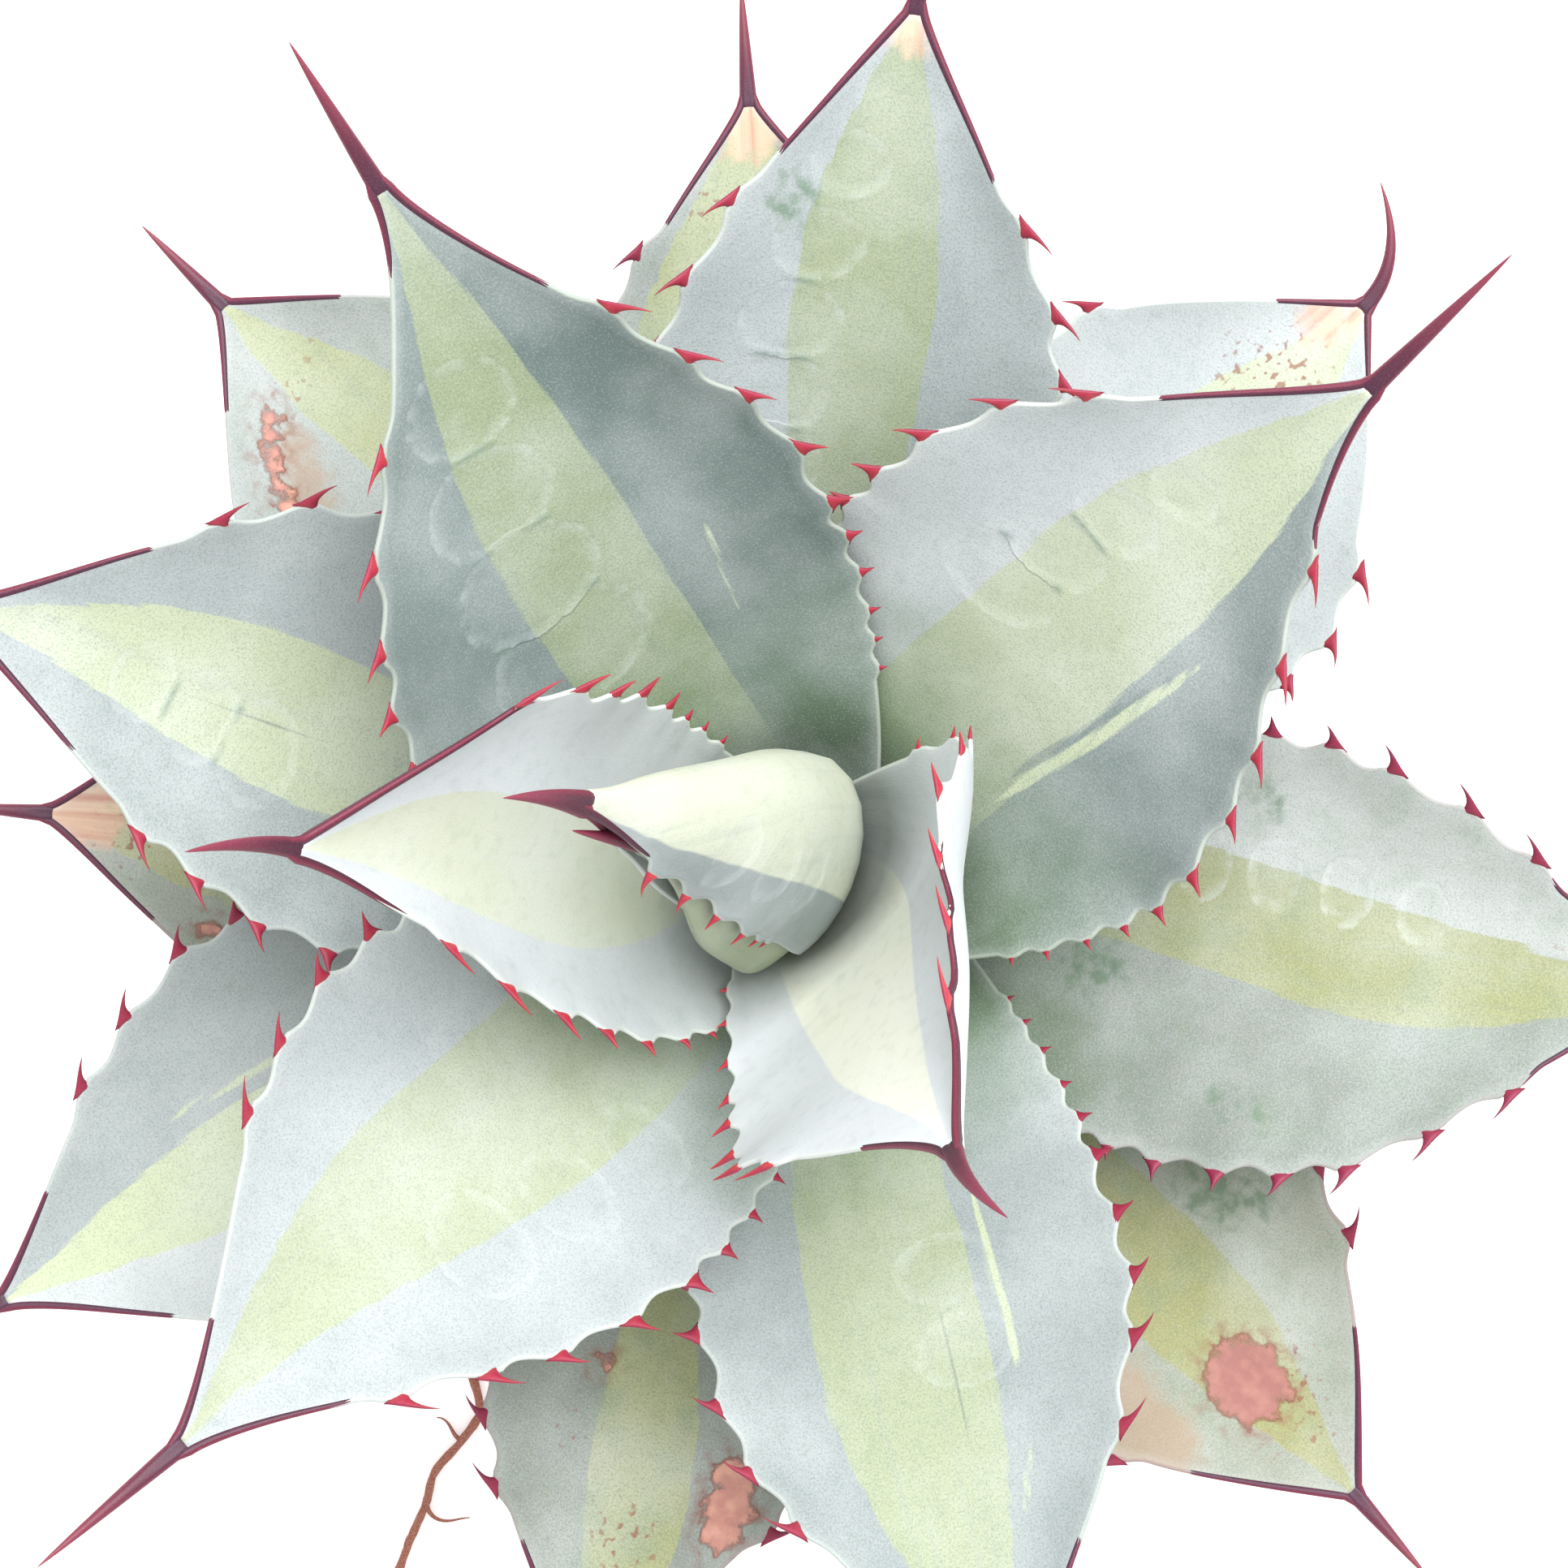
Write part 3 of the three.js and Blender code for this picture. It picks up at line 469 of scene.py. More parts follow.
FULLNESS = 2.2  # how full the section is: the thickness falls off with this power
PATTERN_SHIFT = 400  # length by which the patterns of a leaf are moved on for the next

# Every value that most leaves share. Each leaf below states what it has of its own.
PLAIN_LEAF = {
    "neck": 0.5,
    "cup": (24, 24),
    "furl": (40, 40),
    "wrap": 0.45,
    "twist": 0,
    "border": (0.84, 0.84),  # where the horn along each margin ends
    "age": 0.4,
    "deep": (0.5, 0.5, 0.5),  # how dark its plus flank, its stripe and its minus flank are
    "stripe": ((0.36, 0.36, 0.4), (-0.3, -0.3, -0.4)),  # its two edges at three stations
    "streaks": (),  # (tone, from t, v, to t, v, width)
    "prints": (),  # (from t, v, to t, v, how many, half widths of the first and the last)
    "scabs": (),  # (t, v, radius)
    "smudges": (),
    "specks": (),
    "tans": (),
    "blushes": (),
}

leaf_with = partial(dict, PLAIN_LEAF)
LEAVES = [
    leaf_with(
        turn=318, rise=44, pitch=68, end=(21, -36, 148), half=(40, 33.5), belly=(0.34, 0.6),
        point=(1.4, 1.35), neck=0.46, cup=(30, 10), furl=(75, 10), wrap=0.42, twist=22, spine=(22, -8, 11),
        border=(0.55, 0.86), age=0.0, deep=(0.0, 0.0, 0.0),
        stripe=((0.3, 0.12, -0.02), (-0.55, -0.44, -0.36)),
    ),
    leaf_with(
        turn=186, rise=40, pitch=52, end=(-73, 6, 136), half=(27, 34), belly=(0.3, 0.68), point=(1.5, 1),
        neck=0.4, cup=(34, 34), furl=(50, 50), wrap=0.6, spine=(21, -4, 10), border=(0.8, 0.74), age=0.05,
        deep=(0.15, 0.37, 0.0), stripe=((0.3, 0.45, 0.15), (-0.4, -0.4, -0.5)),
    ),
    leaf_with(
        turn=121, rise=35.5, pitch=46, end=(-63, 104, 118), half=(44, 36), belly=(0.5, 0.54),
        point=(1.5, 1.3), spine=(26, 0, 0), border=(0.92, 0.83), age=0.15, deep=(0.9, 1.0, 1.0),
        stripe=((0.4, 0.4, 0.66), (-0.26, -0.2, -0.28)),
        streaks=(("dark", 0.84, 0.07, 0.56, 0.04, 0.5), ("pale", 0.53, -0.48, 0.39, -0.42, 1.1)),
        prints=((0.78, 0.34, 0.46, 0.3, 4, 10, 15),),
    ),
    leaf_with(
        turn=36, rise=31, pitch=45, end=(86, 75, 112), half=(45, 40), belly=(0.6, 0.45), point=(1.1, 1.5),
        spine=(30, 0, 0), border=(0.84, 0.84), age=0.2, deep=(0.3, 0.6, 0.8),
        stripe=((0.5, 0.43, 0.46), (-0.31, -0.28, -0.6)),
        streaks=(("dark", 0.3, -0.2, 0.64, -0.42, 2.0), ("pale", 0.28, -0.27, 0.67, -0.5, 2.4)),
        prints=((0.78, 0.24, 0.54, 0.41, 4, 6, 11),),
    ),
    leaf_with(
        turn=226, rise=28, pitch=42, end=(-95, -86, 105), half=(35, 43), belly=(0.5, 0.6), point=(1.3, 1.2),
        spine=(28, 0, 0), border=(0.84, 0.9), age=0.25, deep=(0.4, 0.65, 0.38),
        stripe=((0.38, 0.27, 0.0), (-0.54, -0.48, -0.6)), prints=((0.64, 0.25, 0.41, 0.42, 3, 10.5, 9),),
    ),
    leaf_with(
        turn=83, rise=25, pitch=34, end=(18, 137, 90), half=(36, 34), belly=(0.6, 0.6), point=(1, 1.1),
        spine=(24, 0, 0), age=0.3, deep=(0.48, 0.88, 0.6), stripe=((0.2, 0.36, 0.56), (-0.3, -0.29, -0.44)),
        streaks=(("pale", 0.6, -0.36, 0.42, -0.3, 1.0),), prints=((0.85, 0.34, 0.51, 0.46, 5, 7, 11),),
        smudges=((0.81, 0.64, 4.0),), tans=((1.0, 0.1, 5.0),),
    ),
    leaf_with(
        turn=166, rise=21, pitch=32, end=(-134, 43, 85), half=(34, 40), belly=(0.56, 0.62),
        point=(1.1, 1.1), spine=(24, 0, 0), age=0.3, deep=(0.62, 0.52, 0.55),
        stripe=((0.3, 0.38, 0.25), (-0.2, -0.35, -0.5)), streaks=(("dark", 0.9, -0.02, 0.55, 0.04, 0.5),),
        prints=((0.81, 0.05, 0.67, 0.21, 3, 7, 9.5),),
    ),
    leaf_with(
        turn=284, rise=19, pitch=32, end=(34, -133, 85), half=(38, 36), belly=(0.58, 0.6), point=(1.1, 1.1),
        spine=(26, 0, 0), age=0.35, deep=(0.6, 0.7, 0.6), stripe=((0.34, 0.31, 0.35), (-0.42, -0.5, -0.54)),
        streaks=(
            ("dark", 0.36, 0.17, 0.82, 0.17, 0.5), ("pale", 0.42, 0.42, 0.68, 0.45, 1.8),
            ("pale", 0.74, 0.46, 0.82, 0.44, 1.2),
        ),
        prints=((0.62, 0.2, 0.52, 0.2, 2, 9, 9),),
    ),
    leaf_with(
        turn=353, rise=14.5, pitch=20, end=(150, -19, 50), half=(34, 43), belly=(0.56, 0.56),
        point=(1.2, 1.2), spine=(24, 0, 0), age=0.55, deep=(0.38, 0.85, 0.8),
        stripe=((0.6, 0.3, 0.16), (-0.1, -0.28, -0.55)), prints=((0.72, 0.24, 0.46, 0.32, 4, 6, 7),),
        smudges=((0.34, -0.27, 4.5), (0.52, -0.72, 2.2), (0.57, -0.79, 1.6), (0.53, 0.69, 2.6)),
        specks=((0.9, 0.1, 9.0),),
    ),
    leaf_with(
        turn=208, rise=12, pitch=18, end=(-136, -73, 45), half=(36, 40), belly=(0.6, 0.62),
        point=(1.2, 1.1), spine=(24, 0, 0), border=(0.84, 0.9), age=0.4, deep=(0.15, 0.25, 0.5),
        stripe=((0.2, 0.24, 0.34), (-0.3, -0.3, -0.3)), streaks=(("pale", 0.78, -0.46, 0.52, -0.38, 1.6),),
    ),
    leaf_with(
        turn=136, rise=8.5, pitch=14, end=(-101, 99, 30), half=(35, 38), belly=(0.66, 0.68), point=(1.1, 1),
        spine=(20, 0, 0), border=(0.9, 0.9), age=0.5, deep=(0.45, 0.55, 0.5),
        stripe=((0.2, 0.05, 0.2), (-0.4, -0.45, -0.4)),
        scabs=(
            (0.87, 0.42, 1.8), (0.855, 0.5, 1.9), (0.84, 0.56, 1.9), (0.825, 0.6, 1.8), (0.8, 0.6, 1.7),
            (0.78, 0.62, 1.6),
        ),
        blushes=((0.82, 0.38, 3.6), (0.79, 0.42, 4.0), (0.76, 0.46, 4.0)),
        specks=((0.87, 0.15, 8.0), (0.88, -0.28, 7.0)),
    ),
    leaf_with(
        turn=45, rise=6.5, pitch=14, end=(98, 98, 35), half=(38, 38), belly=(0.68, 0.66), point=(1, 1),
        spine=(22, 0, 38), border=(0.93, 0.93), age=0.3, deep=(0.2, 0.3, 0.2),
        stripe=((0.35, 0.35, 0.3), (-0.3, -0.35, -0.45)), specks=((0.86, 0.1, 15.0), (0.93, 0.3, 8.0)),
        tans=((0.97, 0.6, 4.5), (1.0, 0.0, 3.5)),
    ),
    leaf_with(
        turn=255, rise=8, pitch=14, end=(-38, -142, 35), half=(33, 33), belly=(0.6, 0.62), point=(1.1, 1.1),
        spine=(22, 0, 0), age=0.6, deep=(0.75, 0.7, 0.8), stripe=((0.0, 0.17, 0.65), (-0.27, -0.3, -0.35)),
        scabs=((0.73, 0.62, 4.2), (0.76, 0.67, 4.6), (0.79, 0.73, 4.0), (0.63, -0.34, 1.3)),
        specks=((0.83, 0.04, 12.0), (0.72, -0.45, 8.0)),
    ),
    leaf_with(
        turn=312, rise=4, pitch=10, end=(98, -110, 25), half=(34, 33), belly=(0.66, 0.66), point=(1, 1),
        spine=(20, 0, 0), age=1.0, deep=(0.5, 0.8, 0.6), stripe=((0.15, 0.31, 0.36), (-0.4, -0.34, -0.3)),
        scabs=((0.825, -0.05, 7.3),), specks=((0.85, 0.2, 12.0), (0.92, 0.2, 9.0), (0.9, -0.4, 6.0)),
        smudges=((0.62, 0.5, 5.5), (0.66, 0.66, 3.5)), blushes=((0.8, -0.82, 8.0), (0.73, -0.7, 8.0)),
    ),
    leaf_with(
        turn=94, rise=1.5, pitch=10, end=(-9, 136, 22), half=(32, 34), belly=(0.62, 0.62), point=(1.1, 1.1),
        spine=(22, 0, 0), age=0.5, stripe=((0.75, 0.8, 0.8), (-0.6, -0.7, -0.7)), tans=((0.98, 0.0, 6.0),),
        specks=((0.88, 0.6, 9.0),),
    ),
    leaf_with(
        turn=176, rise=-1.5, pitch=8, end=(-134, 10, 18), half=(35, 33), belly=(0.62, 0.62),
        point=(1.1, 1.1), spine=(20, 0, 0), age=0.8, stripe=((0.45, 0.5, 0.5), (-0.3, -0.3, -0.3)),
        scabs=((0.78, 0.72, 1.6),), tans=((0.97, -0.1, 8.0),), specks=((0.9, 0.2, 12.0),),
    ),
]


def smooth(x):
    k = np.clip(x, 0, 1)
    return k * k * (3 - 2 * k)


def mix(a, b, share):
    return a + (b - a) * share


def unit(vectors):
    return vectors / np.maximum(np.linalg.norm(vectors, axis=-1, keepdims=True), 1e-9)


def centre_line(leaf):
    """Start, handle and end of the curve that a blade follows."""
    turn, pitch = math.radians(leaf["turn"]), math.radians(leaf["pitch"])
    reach = STEM_RADIUS - STEM_TAPER * leaf["rise"] - ROOT_SUNK
    start = np.array([reach * math.cos(turn), reach * math.sin(turn), leaf["rise"]])
    end = np.array(leaf["end"], float)
    level = math.cos(pitch)
    heading = np.array([level * math.cos(turn), level * math.sin(turn), math.sin(pitch)])
    return start, start + heading * AXIS_HANDLE * np.linalg.norm(end - start), end


def along_curve(line, t):
    """Points and unit tangents of a quadratic curve."""
    start, handle, end = line
    k = np.asarray(t, float)[..., None]
    point = (1 - k) ** 2 * start + 2 * k * (1 - k) * handle + k * k * end
    tangent = 2 * (1 - k) * (handle - start) + 2 * k * (end - handle)
    return point, unit(tangent)


def curve_length(line):
    points, _ = along_curve(line, np.linspace(0, 1, 200))
    return np.linalg.norm(np.diff(points, axis=0), axis=1).sum()


def blade_half_width(leaf, t, side):
    full = np.array(leaf["half"], float)[side]
    belly = np.array(leaf["belly"], float)[side]
    point = np.array(leaf["point"], float)[side]
    at_base = full * leaf["neck"]
    swelling = at_base + (full - at_base) * np.sin(np.pi / 2 * np.clip(t / belly, 0, 1)) ** 0.9
    x = np.clip((t - belly) / (1 - belly), 0, 1)
    fall = np.maximum(np.cos(np.pi / 2 * x), 0) ** point
    return np.where(t < belly, swelling, (full - BLADE_END_HALF_WIDTH) * fall + BLADE_END_HALF_WIDTH)


def turned(vectors, axis, angle):
    """Vectors turned round unit axes by an angle each."""
    c, s = np.cos(angle)[..., None], np.sin(angle)[..., None]
    along = (vectors * axis).sum(-1, keepdims=True)
    return vectors * c + np.cross(axis, vectors) * s + axis * along * (1 - c)


def leaf_place(leaf):
    """Middle surface of a leaf: a funnel round the stem that opens into a gutter."""
    line = centre_line(leaf)

    def place(t, v):
        t, v = np.broadcast_arrays(np.asarray(t, float), np.asarray(v, float))
        centre, tangent = along_curve(line, t)
        side = np.where(v >= 0, 0, 1)
        half = blade_half_width(leaf, t, side)
        radius = np.hypot(centre[..., 0], centre[..., 1])
        bearing = np.arctan2(centre[..., 1], centre[..., 0]) + v * half / radius
        funnel = np.stack([radius * np.cos(bearing), radius * np.sin(bearing), centre[..., 2]], -1)
        level = np.stack([-tangent[..., 1], tangent[..., 0], np.zeros_like(t)], -1)
        across = unit(level)
        up = np.cross(tangent, across)
        roll = math.radians(leaf["twist"]) * smooth(t / 0.6)
        across, up = turned(across, tangent, roll), turned(up, tangent, roll)
        cup, furl = np.array(leaf["cup"], float)[side], np.array(leaf["furl"], float)[side]
        bend = np.radians(mix(cup, furl, smooth((t - 0.2) / 0.5)))
        arc = half / bend
        gutter = centre + across * (arc * np.sin(v * bend))[..., None]
        gutter = gutter + up * (arc * (1 - np.cos(v * bend)))[..., None]
        return mix(funnel, gutter, smooth(t / leaf["wrap"])[..., None])

    return place


def teeth_of(seed, length, side, first=TEETH_FROM, last=TEETH_TO, scale=1.0):
    """Teeth along one margin: closer and smaller towards the base, hooked back near the tip."""
    teeth = []
    t = first + 0.01 * ((seed * 7 + (3 if side > 0 else 0)) % 4)
    while t < last:
        grown = smooth((t - first) / 0.3)
        size = scale * mix(0.45, 1, grown)
        sway = 0.12 * math.sin(seed * 2.3 + len(teeth) * 1.9 + side)
        hook = mix(1.2, -2, smooth((t - first) / (last - first))) * size
        teeth.append({"t": t, "size": size, "length": TOOTH_LENGTH * size * (1 + sway), "hook": hook})
        t += mix(FIRST_TOOTH_STEP, TOOTH_STEP, grown) * (1 + sway) / length
    return teeth


def bumps_on(t, teeth, length):
    """How far the margin stands out at each t: hollows that meet in a bump under each tooth."""
    out = np.zeros_like(t)
    places = np.array([tooth["t"] for tooth in teeth])
    gaps = np.diff(places, prepend=places[0] - 0.03, append=places[-1] + 0.06)
    for i, tooth in enumerate(teeth):
        reach = np.where(t < tooth["t"], gaps[i], gaps[i + 1]) / 2
        near = np.clip(1 - np.abs(t - tooth["t"]) / reach, 0, 1)
        plateau = 0.5 * TOOTH_ROOT * tooth["size"] / length / reach
        out = np.maximum(out, PROMINENCE * tooth["size"] * np.clip(near / (1 - plateau), 0, 1) ** 1.7)
    return out


def at_stations(values, t):
    """A smooth curve through three values at t of 0.3, 0.6 and 0.9."""
    k = (np.clip(t, 0.12, 1) - 0.6) / 0.3
    low, middle, high = values
    return middle + k * (high - low) / 2 + k * k * (high - 2 * middle + low) / 2


def spot_depth(spots, x, y, half, length, squash=1):
    """Greatest depth in millimetres inside spots, negative outside them."""
    depth = np.full(x.shape, -99.0)
    for t, v, radius in spots:
        across = x - v * half(np.array(t), 0 if v >= 0 else 1)
        depth = np.maximum(depth, radius - np.hypot(across, squash * (y - t * length)))
    return depth


def streak_depth(streaks, x, y, half, length):
    """Depth in millimetres inside streaks that taper to both ends."""
    depth = np.full(x.shape, -99.0)
    for _, t0, v0, t1, v1, width in streaks:
        a = np.array([v0 * half(np.array(t0), 0 if v0 >= 0 else 1), t0 * length])
        b = np.array([v1 * half(np.array(t1), 0 if v1 >= 0 else 1), t1 * length])
        run = b - a
        share = np.clip(((x - a[0]) * run[0] + (y - a[1]) * run[1]) / (run @ run), 0, 1)
        gap = np.hypot(x - a[0] - share * run[0], y - a[1] - share * run[1])
        depth = np.maximum(depth, 0.5 * width * (1 - (2 * share - 1) ** 4) - gap)
    return depth


def every_other_print(chains, parity):
    """The even or the odd prints of the chains, as spots. The folded leaves of the bud pressed these
    overlapping lenses into each other before they opened."""
    spots = []
    for t0, v0, t1, v1, count, wide0, wide1 in chains:
        for i in range(parity, count, 2):
            share = i / (count - 1)
            spots.append((mix(t0, t1, share), mix(v0, v1, share), mix(wide0, wide1, share)))
    return spots


def blade(name, place, half, length, thickness, teeth, look, rows=BLADE_ROWS):
    """A closed blade with bumps on its margins. Returns its mesh data and its finished surface."""
    low_teeth, high_teeth = teeth

    def surface(t, v):
        t, v = np.broadcast_arrays(np.asarray(t, float), np.asarray(v, float))
        step = 1e-3
        ahead = place(np.clip(t + step, 0, 1), v) - place(np.clip(t - step, 0, 1), v)
        sideways = place(t, np.clip(v + step, -1, 1)) - place(t, np.clip(v - step, -1, 1))
        normal = unit(np.cross(ahead, sideways))
        edge = np.sign(v) + (v == 0)
        outward = unit(place(t, edge) - place(t, 0.98 * edge))
        out = np.where(v > 0, bumps_on(t, high_teeth, length), bumps_on(t, low_teeth, length))
        weight = np.clip((np.abs(v) - 0.7) / 0.3, 0, 1) ** 2
        wave = MARGIN_WAVE * np.sin(2 * np.pi * t * length / MARGIN_WAVE_STEP + 1.7 * edge + look["phase"])
        lift = wave * np.abs(v) ** 3 * smooth((t - 0.25) / 0.2) * smooth((0.95 - t) / 0.2)
        point = place(t, v) + outward * (out * weight)[..., None] + normal * lift[..., None]
        return point, normal, outward, unit(ahead), out

    t = np.linspace(0, 1, rows + 1)[:, None]
    crowd, under_crowd = EDGE_CROWDING
    spread = np.sin(np.linspace(-1, 1, UPPER_COLUMNS) * crowd) / math.sin(crowd)
    under = np.sin(np.linspace(1, -1, LOWER_COLUMNS) * under_crowd) / math.sin(under_crowd)
    v = np.concatenate([spread, [1.0], under, [-1.0]])[None, :]
    face = np.concatenate([np.ones(UPPER_COLUMNS), [0], -np.ones(LOWER_COLUMNS), [0]])[None, :]
    point, normal, outward, _, out = surface(t, v)
    lens = 1 - np.abs(v) ** FULLNESS
    depth = mix(MARGIN_THICKNESS, thickness(t), lens)
    share = np.where(face > 0, 0.4 + 0.1 * (1 - lens), 0.6 - 0.1 * (1 - lens))
    point = point + normal * (face * share * depth)[..., None]
    point = point + outward * (np.where(face == 0, 0.4 * MARGIN_THICKNESS, 0))[..., None]

    tt, vv = np.broadcast_arrays(t, v)
    side = np.where(vv >= 0, 0, 1)
    wide = half(tt, side)
    x, y = vv * wide, tt * length
    plus, minus = look["stripe"]
    inside = np.minimum(at_stations(plus, tt) - vv, vv - at_stations(minus, tt)) * wide
    rim = wide * (1 - np.abs(vv)) * np.where(face == 0, 0, 1)
    lie = np.stack([x, y + PATTERN_SHIFT * look["phase"], np.broadcast_to(3 * face, tt.shape)], -1)
    values = {
        "stripe": inside,
        "rim": rim,
        "from_stem": y,
        "deep": mix(look["deep"][2], look["deep"][0], smooth((vv + 0.3) / 0.6)),
        "lie": lie,
    }
    for tone in ("dark", "pale"):
        streaks = [streak for streak in look["streaks"] if streak[0] == tone]
        if streaks:
            values[tone] = streak_depth(streaks, x, y, half, length)
    if look["prints"]:
        for parity, key in enumerate(("even_print", "odd_print")):
            spots = every_other_print(look["prints"], parity)
            values[key] = spot_depth(spots, x, y, half, length, PRINT_SQUASH)
    for kind in ("scabs", "smudges", "specks", "tans", "blushes"):
        if look[kind]:
            values[kind] = spot_depth(look[kind], x, y, half, length)
    sides = v.shape[1]
    faces = ring_faces(rows + 1, sides)
    around = np.concatenate([[0], np.cumsum(np.abs(np.diff(np.append(v, v[0, 0]))))])
    around = around / around[-1]
    up = np.linspace(0, 1, rows + 1)
    row, col = np.meshgrid(np.arange(rows), np.arange(sides), indexing="ij")
    corners = [(row, col), (row, col + 1), (row + 1, col + 1), (row + 1, col)]
    uv = np.stack([np.stack([around[c], up[r]], -1) for r, c in corners], 2).reshape(-1, 2)
    caps = np.concatenate([np.stack([around[:-1], np.full(sides, k)], -1) for k in (0.0, 1.0)])
    flat = {key: data.reshape(-1, 3) if data.ndim == 3 else data.ravel() for key, data in values.items()}
    skin = waxy_skin("waxy_skin_of_" + name, look, values)
    made = mesh_object(name, point.reshape(-1, 3), faces, skin, flat, np.concatenate([uv, caps]))
    return made, surface


WAX = "#dbe0e1"
FLANK_PALE = "#cacfd2"
FLANK_DEEP = "#64726f"
FLANK_DEEP_OLD = "#74786a"
FLANK_OLD = "#b6b9a6"
STRIPE_PALE = "#e0e2d3"
STRIPE_MIDDLE = "#b4c48e"
STRIPE_OLD = "#c2bc88"
STRIPE_DEEP = "#8c9779"
STRIPE_DEEP_OLD = "#898c5c"
STREAK_PALE = "#c3cda6"
BASE_GREEN = "#6b845e"
# painted shade: the colour of the feet of the blades, where the heart and the leaves above shade them
PAINTED_BASE_SHADE = "#465342"
PATCH_GREEN = "#7d8f74"
MARGIN_PALE = "#d5dccb"
MARGIN_OLD = "#957b7c"
CREASE = "#5f776c"
SCAB_MIDDLE = "#c58a80"
SCAB_PALE = "#dba592"
SCAB_OLD = "#a06c68"
SCAB_RIM = "#7d4638"
BLUSH = "#a88c74"
SPECK = "#8a4a3c"
SMUDGE = "#5d7a5e"
TAN = "#e2c3ab"
TAN_PINK = "#cb9382"
SKIN_PATTERNS = {  # width and length of each pattern in millimetres, and its detail
    "grain": (0.34, 0.34, 1),
    "mottle": (2.6, 2.6, 4),
    "clouds": (22, 22, 3),
    "patches": (8, 8, 3),
    "jogs": (1.1, 11, 1),
    "fibres": (2.0, 66.667, 3),
    "rust": (1.5, 1.5, 1),
}


